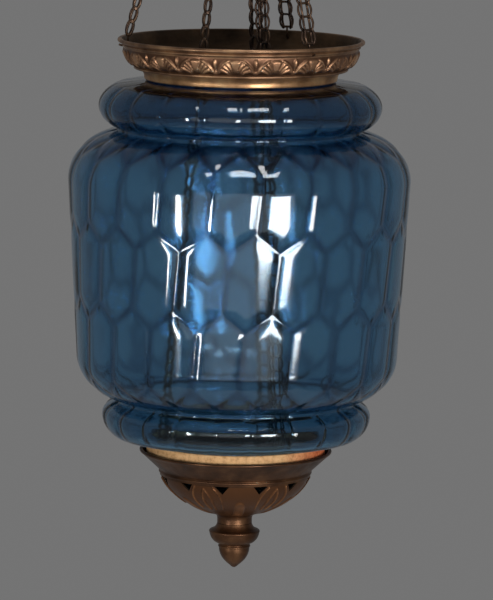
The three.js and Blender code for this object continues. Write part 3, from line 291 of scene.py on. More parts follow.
aged_brass = brass_material("aged_brass", rgb(74, 52, 38), rgb(132, 101, 76), rgb(172, 136, 100))
stamped_brass = brass_material("stamped_brass", rgb(108, 76, 54), rgb(162, 122, 92), rgb(204, 164, 124),
                               recess=rgb(92, 64, 46))
# Paler brass for the gallery's cove and collar: worn metal on the collar, painted light on the cove.
worn_and_painted_light_brass = brass_material("worn_and_painted_light_brass", rgb(124, 88, 58), rgb(184, 142, 100), rgb(224, 188, 140))
dark_brass = brass_material("dark_brass", rgb(50, 33, 22), rgb(86, 58, 39), rgb(120, 86, 58))
leaf_brass = brass_material("leaf_brass", rgb(86, 54, 32), rgb(128, 86, 54), rgb(164, 116, 74),
                            recess=rgb(96, 62, 38))
# Darker brass for the gallery's inner face: painted shade.
painted_shade_brass = brass_material("painted_shade_brass", rgb(50, 38, 28), rgb(78, 60, 44), rgb(104, 80, 58),
                             roughness=(0.5, 0.7))
# Near-black brass: soot on the drip pan, and painted shade inside the cup.
soot_and_painted_shade = brass_material("soot_and_painted_shade", rgb(12, 10, 9), rgb(24, 20, 17), rgb(38, 32, 26), roughness=(0.6, 0.8))
chain_metal = brass_material("chain_metal", rgb(34, 25, 20), rgb(68, 52, 42), rgb(118, 92, 70))
wheel_brass = brass_material("wheel_brass", rgb(110, 82, 46), rgb(150, 116, 68), rgb(178, 144, 94))


def steel_material():
    material, tree, shader = new_material("plain_steel")
    shader.inputs["Metallic"].default_value = 0.9
    lines = noise(tree, 240, detail=4, stretch=(1, 1, 0.1))
    tree.links.new(ramp(tree, lines, [(0.3, rgb(92, 92, 90)), (0.7, rgb(140, 140, 138))]),
                   shader.inputs["Base Color"])
    tree.links.new(ramp(tree, lines, [(0.3, grey(0.3)), (0.7, grey(0.5))]), shader.inputs["Roughness"])
    return material


def cork_material():
    """Light tan cork with darker flecks, and a painted reddish reflection on its right-hand side."""
    material, tree, shader = new_material("cork")
    flecks = noise(tree, 320, detail=6, roughness=0.7)
    tan = ramp(tree, flecks, [(0.32, rgb(150, 108, 66)), (0.5, rgb(196, 152, 102)),
                              (0.75, rgb(214, 172, 124))])
    # A painted reddish reflection, laid on the ring's right-hand side.
    painted_reflection = ramp(tree, flecks, [(0.3, rgb(140, 60, 30)), (0.6, rgb(204, 108, 58))])
    place = tree.nodes.new("ShaderNodeTexCoord")
    split = tree.nodes.new("ShaderNodeSeparateXYZ")
    tree.links.new(place.outputs["Object"], split.inputs["Vector"])
    where = add_node(tree, "ShaderNodeMapRange", From_Min=34 * MM, From_Max=60 * MM)
    tree.links.new(split.outputs["X"], where.inputs["Value"])
    tree.links.new(mix_colours(tree, where.outputs["Result"], tan, painted_reflection), shader.inputs["Base Color"])
    shader.inputs["Roughness"].default_value = 0.8
    bump(tree, shader, flecks, 0.4, 0.0005)
    return material


def glass_material():
    """Clear blue glass, tinted a little unevenly and deeper blue where the mesh stores a high value:
    painted shade and reflection, in part thicker glass. The blown surface has a faint waviness."""
    material, tree, shader = new_material("blue_glass")
    shader.inputs["Transmission Weight"].default_value = 1
    shader.inputs["IOR"].default_value = 1.48
    shader.inputs["Roughness"].default_value = 0.08
    tint = noise(tree, 14, detail=2)
    clear = ramp(tree, tint, [(0.3, rgb(196, 221, 240)), (0.7, rgb(204, 228, 244))])
    deep = ramp(tree, tint, [(0.3, rgb(80, 108, 146)), (0.7, rgb(90, 120, 158))])
    tree.links.new(mix_colours(tree, stored(tree, "tint_and_painted_shade"), clear, deep), shader.inputs["Base Color"])
    waves = noise(tree, 30, detail=1, stretch=(1, 1, 0.5))
    bump(tree, shader, waves, 0.25, 0.001)
    depth = tree.nodes.new("ShaderNodeVolumeAbsorption")
    depth.inputs["Color"].default_value = GLASS_BODY_COLOUR
    depth.inputs["Density"].default_value = GLASS_DENSITY
    tree.links.new(depth.outputs["Volume"], tree.nodes["Material Output"].inputs["Volume"])
    return material


steel = steel_material()
cork = cork_material()
blue_glass = glass_material()


# Outlines: lists of (radius, depth)

def quarter(start, end, starts_level, power, steps):
    """A quarter of a superellipse, level or upright where it starts, without its first point."""
    points = []
    for i in range(1, steps + 1):
        turn = math.pi / 2 * i / steps
        early = math.sin(turn) ** (2 / power)
        late = 1 - max(math.cos(turn), 0) ** (2 / power)
        across, along = (early, late) if starts_level else (late, early)
        points.append((start[0] + (end[0] - start[0]) * across, start[1] + (end[1] - start[1]) * along))
    return points


def bow(start, control, end, steps):
    """A curve through one control point, without its first point."""
    points = []
    for i in range(1, steps + 1):
        t = i / steps
        a, b, c = (1 - t) ** 2, 2 * t * (1 - t), t * t
        points.append(tuple(a * start[k] + b * control[k] + c * end[k] for k in (0, 1)))
    return points


def line(start, end, steps):
    """Evenly spaced points of a straight line, without its first point."""
    return [tuple(start[k] + (end[k] - start[k]) * i / steps for k in (0, 1))
            for i in range(1, steps + 1)]


def arc(centre, radius, start, end, steps):
    """Part of a circle; angles in degrees from the outward direction, positive downwards."""
    points = []
    for i in range(steps + 1):
        angle = math.radians(start + (end - start) * i / steps)
        points.append((centre[0] + radius * math.cos(angle), centre[1] + radius * math.sin(angle)))
    return points


def normals(outline):
    """Unit normals of an outline, outwards where it runs downwards."""
    points = np.array(outline, float)
    along = np.empty_like(points)
    along[1:-1] = points[2:] - points[:-2]
    along[0], along[-1] = points[1] - points[0], points[-1] - points[-2]
    along /= np.linalg.norm(along, axis=1)[:, None]
    return np.stack([along[:, 1], -along[:, 0]], axis=1)


def inset(outline, wall):
    """The inner face of a wall whose outer face is the outline."""
    return [tuple(p) for p in np.array(outline, float) - normals(outline) * wall]


# Meshes

def make_object(name, vertices, faces, material, sharp=40):
    """A smooth-shaded object whose edges stay sharp above an angle."""
    mesh = bpy.data.meshes.new(name)
    mesh.from_pydata([tuple(v) for v in vertices], [], faces)
    mesh.polygons.foreach_set("use_smooth", [True] * len(mesh.polygons))
    mesh.set_sharp_from_angle(angle=math.radians(sharp))
    mesh.materials.append(material)
    obj = bpy.data.objects.new(name, mesh)
    bpy.context.scene.collection.objects.link(obj)
    return obj


def grid_faces(rows, columns, closed):
    """Quads over rows of points that run round the axis; closed joins the last row to the first."""
    faces = []
    for row in range(rows if closed else rows - 1):
        after = (row + 1) % rows
        for column in range(columns):
            turn = (column + 1) % columns
            faces.append((row * columns + column, row * columns + turn,
                          after * columns + turn, after * columns + column))
    return faces


def place_round(radius, depth, azimuth):
    """Arrays of radius, depth and azimuth as points in metres."""
    angle = np.radians(azimuth)
    across, towards = radius * np.sin(angle), -radius * np.cos(angle)
    return np.stack([across, towards, RIM_Z - depth + 0 * angle], axis=-1) * MM


def revolve(name, outline, columns, material, relief=None, relief_rows=0, sharp=40):
    """A turned piece. Its outline is closed on itself, or starts and ends on the axis. relief(azimuth,
    points) gives how far the first relief_rows points of the outline stand out along their normals."""
    on_axis = outline[0][0] == 0
    ring = np.array(outline[1:-1] if on_axis else outline, float)
    azimuth = np.arange(columns) * 360 / columns
    radius = np.repeat(ring[:, :1], columns, axis=1)
    depth = np.repeat(ring[:, 1:], columns, axis=1)
    if relief is not None:
        direction = normals(outline[:relief_rows])
        lift = relief(azimuth[None, :], np.array(outline[:relief_rows]))
        radius[:relief_rows] += direction[:, :1] * lift
        depth[:relief_rows] += direction[:, 1:] * lift
    vertices = place_round(radius, depth, azimuth[None, :] + 0 * radius).reshape(-1, 3).tolist()
    faces = grid_faces(len(ring), columns, not on_axis)
    if on_axis:
        top, foot = len(vertices), len(vertices) + 1
        vertices += [(0, 0, (RIM_Z - outline[0][1]) * MM), (0, 0, (RIM_Z - outline[-1][1]) * MM)]
        last = (len(ring) - 1) * columns
        for column in range(columns):
            turn = (column + 1) % columns
            faces.append((top, turn, column))
            faces.append((foot, last + column, last + turn))
    obj = make_object(name, vertices, faces, material, sharp)
    face_outwards(obj)
    return obj


def mark_relief(obj, columns, rows, height, full):
    """Stores how far each point of the first rows stands out, as a share of the full height."""
    values = np.zeros((len(obj.data.vertices) // columns, columns), np.float32)
    values[:rows] = np.clip(height / full, 0, 1)
    obj.data.attributes.new("relief", "FLOAT", "POINT").data.foreach_set("value", values.ravel())


def finish_rows(obj, columns, rows, material):
    """Gives the faces that start in these rows of a turned piece a material of their own."""
    obj.data.materials.append(material)
    index = len(obj.data.materials) - 1
    for row in rows:
        for face in obj.data.polygons[row * columns:(row + 1) * columns]:
            face.material_index = index


def face_outwards(obj):
    mesh = bmesh.new()
    mesh.from_mesh(obj.data)
    bmesh.ops.recalc_face_normals(mesh, faces=mesh.faces)
    if mesh.calc_volume(signed=True) < 0:
        bmesh.ops.reverse_faces(mesh, faces=mesh.faces)
    mesh.to_mesh(obj.data)
    mesh.free()


def dress(obj, body, node):
    """Lets a piece ride on its body in place of a node."""
    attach(obj, body)
    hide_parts(node)


# Gallery: rolled rim, frieze of palmettes and buds, ledge, cove, collar and the flange inside it

def ridge(distance, half_width):
    """A rounded ridge, 1 on its middle line and 0 from its half width outwards."""
    return np.clip(1 - (distance / half_width) ** 2, 0, 1) ** 0.75


def frieze_relief(azimuth, points):
    """How far the frieze's ornament stands out: palmettes, and a bud and a knot between each two."""
    radius, depth = points[:, :1], points[:, 1:]
    repeat = 360 / PALMETTES
    turn = (azimuth - PALMETTE_PHASE + repeat / 2) % repeat - repeat / 2
    across = np.abs(np.radians(turn) * radius)
    between = np.radians(repeat / 2) * radius - across
    height = FRIEZE_FOOT[1] - depth
    full = FRIEZE_FOOT[1] - FRIEZE_TOP[1]
    # Palmette: a broad middle lobe and ribs beside it that curl out, under an arched scroll
    spread = np.degrees(np.arctan2(across, height + PALMETTE_ROOT))
    reach = np.hypot(across, height + PALMETTE_ROOT)
    curl_out = spread - 1.1 * np.maximum(reach - 7, 0)
    lobe = fall(spread, MIDDLE_LOBE - 2, MIDDLE_LOBE + 2)
    sides = np.maximum.reduce([ridge(curl_out - middle, SIDE_RIB_HALF) for middle in SIDE_RIBS])
    fan = (0.2 + 0.8 * np.maximum(lobe, sides)) * rise(reach, 2.5, 6.5) * fall(curl_out, 60, 66)
    fan *= fall(reach, full - 1.6, full + 0.4)
    scroll = ridge(reach - full - 0.2, 0.9) * rise(spread, 14, 30) * fall(spread, 70, 84)
    # Between two palmettes: a bud on a stem, and a knot with a curl on either side
    bud = ridge(np.hypot(between / 1.3, (height - full + 4.2) / 3.6), 1)
    stem = ridge(between, 0.6) * fall(height, full - 8, full - 6)
    knot = ridge(np.hypot(between, height - 2.6), 1.5)
    curl = ridge(np.hypot(between - 2.8, height - 3.4), 1.3)
    figure = np.maximum.reduce([fan * 0.9, scroll, bud, stem * 0.6, knot, curl * 0.9])
    inside = rise(height, 0.1, 1.2) * fall(height, full - 1.0, full + 0.2)
    return FRIEZE_RELIEF * figure * inside


def gallery_ring():
    """The stamped ring with its rolled rim, ledge, cove, collar and the flange that holds the glass."""
    bead = RIM_BEAD / 2
    rim = arc((RIM_RADIUS - bead, bead), bead, -90, 63, 10)
    ledge_top = (FRIEZE_FOOT[0] + 0.9, FRIEZE_FOOT[1] + 0.8)
    ledge = (FRIEZE_FOOT[0] - 1.4, FRIEZE_FOOT[1] + 2.3)
    fillet = (FRIEZE_TOP[0] + 0.7, FRIEZE_TOP[1] - 1.8)
    outside = [
        *rim,
        *bow(rim[-1], (fillet[0] + 0.2, fillet[1] - 1.4), (fillet[0] + 0.4, fillet[1] - 0.9), 3),
        *arc((fillet[0] - 0.2, fillet[1]), 0.9, -60, 60, 5),
        *line((fillet[0] + 0.1, fillet[1] + 0.9), FRIEZE_TOP, 2),
        *quarter(FRIEZE_TOP, FRIEZE_FOOT, False, FRIEZE_POWER, 34),
        *bow(FRIEZE_FOOT, (FRIEZE_FOOT[0] + 0.2, FRIEZE_FOOT[1] + 0.5), ledge_top, 3),
        *arc((ledge_top[0] - 0.7, ledge_top[1] + 0.7), 0.8, -30, 100, 5),
        *line((FRIEZE_FOOT[0], FRIEZE_FOOT[1] + 2.2), ledge, 2),
        *quarter(ledge, (COLLAR[0] + 0.8, COLLAR[1] - 1.6), True, 2, 10),
        *arc((COLLAR[0] - 0.4, COLLAR[1] - 1.1), 1.1, -30, 90, 5),
    ]
    wall = [p for p in outside if FRIEZE_TOP[1] - 1 < p[1] < COLLAR[1] - 2.4]
    inner = [p for p in inset(wall, SHEET)[::3] if p[1] < COLLAR[1] - SHEET - 1]
    closed = [
        *outside,
        (FLANGE_RADIUS, COLLAR[1]),
        (FLANGE_RADIUS, COLLAR[1] - SHEET),
        (COLLAR[0] - SHEET, COLLAR[1] - SHEET),
        *reversed(inner),
        (RIM_RADIUS - RIM_BEAD - SHEET, SHEET),
        (RIM_RADIUS - RIM_BEAD, 0.3),
    ]
    columns = PALMETTES * PALMETTE_STEPS
    obj = revolve("gallery", closed, columns, aged_brass, frieze_relief, len(outside), sharp=50)
    azimuth = np.arange(columns)[None, :] * 360 / columns
    height = frieze_relief(azimuth, np.array(outside))
    mark_relief(obj, columns, len(outside), height, 0.8 * FRIEZE_RELIEF)
    frieze = [row for row, p in enumerate(outside[:-1]) if FRIEZE_TOP[1] < p[1] < FRIEZE_FOOT[1] - 0.3]
    finish_rows(obj, columns, frieze, stamped_brass)
    # The cove faces downwards and gets the paler brass as painted light; the collar below it is worn.
    cove = [row for row, p in enumerate(outside[:-1]) if p[1] > ledge[1] - 0.1]
    finish_rows(obj, columns, cove, worn_and_painted_light_brass)
    # The inner face gets the darker brass, painted shade inside the ring.
    finish_rows(obj, columns, range(len(outside) + 2, len(closed) - 1), painted_shade_brass)
    dress(obj, "gallery", "gallery_ring")


# Glass: tall six-sided cells in rows, pillowed, with narrow grooves between them

def border_distance(azimuth, depth):
    """Distance in millimetres, round the glass, from each point to the nearest groove."""
    cell = 360 / CELLS
    last = ROWS - 1
    half = math.radians(cell / 2) * PATTERN_RADIUS
    length = math.hypot(half, SEAM_HEIGHT)
    swing = azimuth - PATTERN_PHASE - TWIST * np.maximum(depth - FIRST_SEAM, 0)
    row = np.clip(np.floor((depth - FIRST_SEAM - SEAM_HEIGHT / 2) / ROW_PITCH) + 1, 0, last)
    best = np.full(np.broadcast(azimuth, depth).shape, 1e9)
    for step in (-1, 0, 1):
        # Upright grooves of this row, which run from its start to its end
        which = np.clip(row + step, 0, last)
        start = np.where(which > 0, FIRST_SEAM + SEAM_HEIGHT + (which - 1) * ROW_PITCH, -1e3)
        end = np.where(which < last, FIRST_SEAM + which * ROW_PITCH, 1e4)
        shifted = swing - (which % 2) * cell / 2
        sideways = np.abs(np.radians((shifted + cell / 2) % cell - cell / 2)) * PATTERN_RADIUS
        beyond = np.maximum(np.maximum(start - depth, depth - end), 0)
        best = np.minimum(best, np.hypot(sideways, beyond))
        # Slanting grooves from the end of each upright one down to the next row's
        below = depth - end
        nearest = np.clip((sideways * half + below * SEAM_HEIGHT) / length ** 2, 0, 1)
        gap = np.hypot(sideways - nearest * half, below - nearest * SEAM_HEIGHT)
        best = np.where((which < last) & (below > -3 * SEAM_HEIGHT), np.minimum(best, gap), best)
    return best


def glass_relief(azimuth, points):
    """How far the wall stands out: nothing on the cells, and less than nothing in the grooves."""
    depth = points[:, 1:]
    half_cell = math.radians(360 / CELLS) / 2 * PATTERN_RADIUS
    share = np.clip(np.hypot(border_distance(azimuth, depth) / half_cell, SEAM_SOFTNESS), 0, 1)
    sink = (1 - share) ** PILLOW_POWER
    crown = rise(depth, CROWN[1], CROWN[1] + 9)
    foot = fall(depth, LOWER_BULGE[1] + 6, LOWER_BULGE[1] + LOWER_BULGE_ROUND)
    return -CELL_RELIEF * sink * crown * foot


def glass_shade_depth(azimuth, depth):
    """How deep the blue is, from 0 to 1: more along the grooves, in the shoulders and in both bulges.
    This deeper blue is painted shade and painted reflection, near the neck in part thicker glass.
    """
    seam = np.exp(-(border_distance(azimuth, depth) / SEAM_LINE) ** 2) * rise(depth, 62, 76)
    seam *= fall(depth, LOWER_NOTCH[1] - 12, LOWER_NOTCH[1] - 2)
    top = fall(depth, 68, 96)
    foot = rise(depth, 248, 264)
    crown = fall(depth, 30, 40)
    return np.clip(0.6 * seam + 0.55 * top + 0.3 * foot + 0.5 * crown, 0, 1)


def notched(above, below, notch):
    """Two curves that meet in a notch, with the sharp floor of the notch filled by a round one."""
    floor = notch[0] + NOTCH_ROUND
    above = [p for p in above if p[0] > floor + 0.8]
    below = [p for p in below if p[0] > floor + 0.8]
    return [*above, *bow(above[-1], (floor - 0.8, notch[1]), below[0], 6)[:-1], *below]


def glass_outline():
    """The glass from its crown to the foot of its lower bulge."""
    bulge_foot = (LOWER_BULGE[0] - LOWER_BULGE_ROUND, LOWER_BULGE[1] + LOWER_BULGE_ROUND)
    upper = [
        CROWN,
        *quarter(CROWN, UPPER_BULGE, True, 2, 16),
        *quarter(UPPER_BULGE, UPPER_NOTCH, False, 2, 18),
    ]
    body = [
        *quarter(UPPER_NOTCH, BODY_TOP, True, 2, 30),
        *line(BODY_TOP, BODY_FOOT, 62),
        *quarter(BODY_FOOT, LOWER_NOTCH, False, 2, 30),
    ]
    lower = [
        *quarter(LOWER_NOTCH, LOWER_BULGE, True, 2, 14),
        *quarter(LOWER_BULGE, bulge_foot, False, 2, 12),
    ]
    return notched(notched(upper, body, UPPER_NOTCH), lower, LOWER_NOTCH)


def glass_shade():
    """The whole glass, with the grooves in its outer face and, a little shallower, in its inner one."""
    body = glass_outline()
    bulge_foot = body[-1]
    bore, foot_bore = NECK_RADIUS - GLASS_WALL, FOOT[0] - GLASS_WALL
    inside = [p for p in inset(body, GLASS_WALL) if p[0] > foot_bore + 3]
    closed = [
        *body,
        *bow(bulge_foot, (FOOT[0] + 2, bulge_foot[1]), FOOT, 5),
        (foot_bore, FOOT[1]),
        *bow((foot_bore, FOOT[1] - 1), (foot_bore, inside[-1][1]), inside[-1], 4)[:-1],
        *reversed(inside),
        *bow(inside[0], (bore, inside[0][1]), (bore, CROWN[1] - 2), 5),
        (bore, LIP[1] + 1),
        (bore + 1, LIP[1]),
        (LIP[0] - 1, LIP[1]),
        (LIP[0], LIP[1] + 1),
        (LIP[0], LIP[2]),
        (NECK_RADIUS, LIP[2]),
        *bow((NECK_RADIUS, LIP[2] + 1), (NECK_RADIUS, CROWN[1]), (NECK_RADIUS + 3.4, CROWN[1]), 3),
    ]
    follow = np.zeros((len(closed), 1))
    follow[:len(body)] = 1
    first = closed.index(inside[-1])
    follow[first:first + len(inside)] = -INSIDE_SHARE

    def relief(azimuth, points):
        return glass_relief(azimuth, points) * follow

    columns = CELLS * CELL_STEPS
    obj = revolve("glass", closed, columns, blue_glass, relief, len(closed), sharp=60)
    azimuth = np.arange(columns)[None, :] * 360 / columns
    depth = np.array(closed)[:, 1:]
    # Stores the deeper blue: painted shade and painted reflection, partly thicker glass near the neck.
    tint_and_painted_shade = obj.data.attributes.new("tint_and_painted_shade", "FLOAT", "POINT")
    tint_and_painted_shade.data.foreach_set("value", glass_shade_depth(azimuth, depth).astype(np.float32).ravel())
    dress(obj, "gallery", "glass_shade")


# Bottom cup: lip, cove, bead and pierced bowl with raised leaf lines

def cup_relief(azimuth, points):
    """How far the bowl's ornament stands out: curved lines as a leaf's edges, and a small tongue."""
    radius, depth = points[:, :1], points[:, 1:]
    repeat = 360 / LEAVES
    turn = np.abs((azimuth - LEAF_PHASE + repeat / 2) % repeat - repeat / 2)

    def leaf_line(top, middle, foot):
        share = np.clip((depth - top[1]) / (foot[1] - top[1]), 0, 1)
        path = top[0] * (1 - share) ** 2 + 2 * middle * share * (1 - share) + foot[0] * share ** 2
        beyond = np.maximum(np.maximum(top[1] - depth, depth - foot[1]), 0)
        gap = np.hypot(np.radians(turn - path) * radius, beyond)
        return LEAF_LINE_HEIGHT * ridge(gap, LEAF_LINE_HALF)

    leaf = np.maximum.reduce([leaf_line(*ends) for ends in LEAF_LINES])
    out = np.hypot(np.radians(turn) * radius, np.minimum(depth - TONGUE_HEAD, 0) * 0.9)
    tongue = TONGUE_HEIGHT * fall(out, TONGUE_HALF - 0.5, TONGUE_HALF + 0.5)
    tongue *= fall(depth, TONGUE_FOOT - 3, TONGUE_FOOT)
    return np.maximum(leaf, tongue)


def bottom_cup():
    """The cup's lip, cove, bead and pierced bowl."""
    lip = arc((CUP_LIP[0] - 1.0, CUP_LIP[1] + 1.0), 1.0, -90, 80, 7)
    bowl_top = (CUP_BEAD[0] - 1.1, CUP_BEAD[1] + 2.2)
    outside = [
        *lip,
        *bow(lip[-1], COVE_CONTROL, (CUP_BEAD[0] - 0.6, CUP_BEAD[1] - 1.4), 12),
        *arc((CUP_BEAD[0] - 1.0, CUP_BEAD[1]), 1.0, -60, 80, 6),
        *line((CUP_BEAD[0] - 0.9, CUP_BEAD[1] + 1.2), bowl_top, 2),
        *bow(bowl_top, BOWL_CONTROL, BOWL_FOOT, 56),
        *bow(BOWL_FOOT, (CUP_NECK[0], BOWL_FOOT[1] + 1), (CUP_NECK[0], CUP_NECK[1] - 3), 4),
        CUP_NECK,
    ]
    wall = [p for p in outside if p[0] > CUP_FLOOR[0] + 6 and p[1] > CUP_LIP[1] + 3]
    inner = [p for p in inset(wall, CUP_WALL)[::3] if p[1] < CUP_FLOOR[1] - 1]
    closed = [
        *outside,
        (ROD_BORE, CUP_NECK[1]),
        (ROD_BORE, CUP_FLOOR[1]),
        CUP_FLOOR,
        *reversed(inner),
        (CUP_LIP[0] - 1.0 - CUP_WALL, CUP_LIP[1] + 0.5),
        (CUP_LIP[0] - 1.6, CUP_LIP[1] + 0.1),
    ]
    obj = revolve("cup", closed, CUP_COLUMNS, dark_brass, cup_relief, len(outside), sharp=50)
    azimuth = np.arange(CUP_COLUMNS)[None, :] * 360 / CUP_COLUMNS
    mark_relief(obj, CUP_COLUMNS, len(outside), cup_relief(azimuth, np.array(outside)), 0.6)
    bowl = [row for row, p in enumerate(outside[:-1]) if bowl_top[1] < p[1] < BOWL_FOOT[1]]
    finish_rows(obj, CUP_COLUMNS, bowl, leaf_brass)
    # The inside of the cup gets the near-black brass, painted shade.
    finish_rows(obj, CUP_COLUMNS, range(len(outside) + 2, len(closed) - 2), soot_and_painted_shade)
    pierce(obj)
    dress(obj, "cup", "bottom_cup")


def pierce(obj):
    """Cuts the ring of triangular holes."""
    half = PIERCED_WIDTH / 2
    vertices, faces = [], []
    for i in range(PIERCED_HOLES):
        azimuth = PIERCED_PHASE + i * 360 / PIERCED_HOLES
        spin = Matrix.Rotation(math.radians(azimuth), 3, "Z")
        base = len(vertices)
        for reach in PIERCED_REACH:
            for across, down in ((-half, 0), (0, PIERCED_HEIGHT), (half, 0)):
                point = Vector((across, -reach, RIM_Z - PIERCED_TOP - down)) * MM
                vertices.append(spin @ point)
        faces += [tuple(base + k for k in face) for face in
                  ((0, 1, 2), (5, 4, 3), (0, 3, 4, 1), (1, 4, 5, 2), (2, 5, 3, 0))]
    cutter = make_object("cutter", vertices, faces, dark_brass)
    face_outwards(cutter)
    modifier = obj.modifiers.new("pierced", "BOOLEAN")
    modifier.operation = "DIFFERENCE"
    modifier.solver = "EXACT"
    modifier.object = cutter
    bpy.context.view_layer.update()
    evaluated = obj.evaluated_get(bpy.context.evaluated_depsgraph_get())
    result = bpy.data.meshes.new_from_object(evaluated)
    obj.modifiers.clear()
    obj.data = result
    obj.data.set_sharp_from_angle(angle=math.radians(50))
    bpy.data.objects.remove(cutter)


def seat_ring():
    """The cork ring between cup and glass."""
    low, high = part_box("seat_ring")
    outer = high.x / MM
    inner = outer - SEAT_WIDTH
    top, foot = RIM_Z - high.z / MM, RIM_Z - low.z / MM
    soft = SEAT_SOFTNESS
    outline = [
        (inner, foot), (inner, top + soft), (inner + soft, top), (outer - soft, top), (outer, top + soft),
        *line((outer, top + soft), (outer, foot - soft), 8), (outer - soft, foot),
    ]
    obj = revolve("cork_seat", outline, 180, cork, sharp=60)
    dress(obj, "cup", "seat_ring")


def finial():
    """The turned finial: neck, knop and acorn."""
    top = CUP_NECK[1] + 0.3
    foot = KNOP_FOOT[1]
    outline = [
        (0, top + 12), (ROD_BORE, top + 12), (ROD_BORE, top), (CUP_NECK[0], top),
        *bow((CUP_NECK[0], top), (CUP_NECK[0] + 0.8, top + 4), (KNOP[0] - 1.0, KNOP[1] - 0.6), 8),
        *arc((KNOP[0] - 1.1, KNOP[1] + 0.6), 1.1, -70, 40, 5),
        *bow((KNOP[0] - 0.3, KNOP[1] + 1.4), (KNOP[0] - 1.3, foot - 2), KNOP_FOOT, 9),
        *bow(KNOP_FOOT, (ACORN_RADIUS - 0.9, foot + 0.5), (ACORN_RADIUS - 0.7, foot + 1.1), 3),
        *arc((ACORN_RADIUS - 0.9, foot + 2.2), 0.9, -60, 70, 5),
        *bow((ACORN_RADIUS - 0.6, foot + 3.4), (ACORN_RADIUS - 0.8, foot + 11),
             (3.4, TIP_DEPTH - 2.2), 10),
        *bow((3.4, TIP_DEPTH - 2.2), (1.6, TIP_DEPTH - 0.2), (0, TIP_DEPTH), 4),
    ]
    obj = revolve("finial_turned", outline, 96, dark_brass, sharp=50)
    dress(obj, "cup", "finial")


# Chains: links of bent wire along the tangents to the pulley wheels

def route(foot, side, wrap_end=None):
    """Middle line of a chain in its own radial plane, as a function of distance, and its length."""
    start = (foot[0], RIM_Z + foot[1])
    across, down = start[0] - PULLEY_CIRCLE, start[1] - PULLEY_Z
    spread = math.acos(CHAIN_CENTRE_RADIUS / math.hypot(across, down))
    angle = math.atan2(down, across) + side * spread
    touch = (PULLEY_CIRCLE + CHAIN_CENTRE_RADIUS * math.cos(angle),
             PULLEY_Z + CHAIN_CENTRE_RADIUS * math.sin(angle))
    straight = math.dist(start, touch)
    length = straight + ((wrap_end - angle) * CHAIN_CENTRE_RADIUS if wrap_end else 0) - CHAIN_SPARE

    def at(distance):
        if distance <= straight:
            share = distance / straight
            return Vector((start[0] + (touch[0] - start[0]) * share, 0,
                           start[1] + (touch[1] - start[1]) * share))
        turn = angle + (distance - straight) / CHAIN_CENTRE_RADIUS
        return Vector((PULLEY_CIRCLE + CHAIN_CENTRE_RADIUS * math.cos(turn), 0,
                       PULLEY_Z + CHAIN_CENTRE_RADIUS * math.sin(turn)))

    return at, length, angle


def wire(points, radius, closed=False):
    """Vertices and faces of a round wire along points."""
    points = [Vector(p) for p in points]
    count = len(points)
    vertices, faces = [], []
    previous = None
    for i, point in enumerate(points):
        if closed:
            direction = (points[(i + 1) % count] - points[i - 1]).normalized()
        else:
            direction = (points[min(i + 1, count - 1)] - points[max(i - 1, 0)]).normalized()
        if previous is None:
            across = direction.orthogonal().normalized()
        else:
            across = (previous - direction * previous.dot(direction)).normalized()
        previous = across
        other = direction.cross(across)
        for k in range(WIRE_SIDES):
            angle = 2 * math.pi * k / WIRE_SIDES
            vertices.append(point + (across * math.cos(angle) + other * math.sin(angle)) * radius)
    for i in range(count if closed else count - 1):
        after = (i + 1) % count
        for k in range(WIRE_SIDES):
            turn = (k + 1) % WIRE_SIDES
            faces.append((i * WIRE_SIDES + k, i * WIRE_SIDES + turn,
                          after * WIRE_SIDES + turn, after * WIRE_SIDES + k))
    if not closed:
        faces.append(tuple(reversed(range(WIRE_SIDES))))
        faces.append(tuple((count - 1) * WIRE_SIDES + k for k in range(WIRE_SIDES)))
    return vertices, faces


def ladder_link(start, end, outward, loop):
    """Wire of one link: a rung that bows out, and on either side an oval loop drawn in at both ends."""
    half = CHAIN_WIDTH / 2 - CHAIN_WIRE
    along = (end - start).normalized()
    side = along.cross(outward).normalized()
    out = side.cross(along).normalized()
    if out.dot(outward) < 0:
        out = -out
    middle = start.lerp(end, 0.5)
    reach = (end - start).length / 2 + LOOP_OVERLAP
    rung = [start + side * half * s + out * RUNG_BOW * (1 - s * s) for s in (-1, -0.5, 0, 0.5, 1)]
    pieces = [wire(rung, CHAIN_WIRE)]
    for sign in (-1, 1):
        oval = []
        for k in range(LOOP_STEPS):
            angle = 2 * math.pi * k / LOOP_STEPS
            up = math.sin(angle)
            aside = (half - LOOP_LEAN * up ** 2) * sign
            oval.append(middle + along * up * reach + out * math.cos(angle) * loop + side * aside)
        pieces.append(wire(oval, CHAIN_WIRE, closed=True))
    return pieces


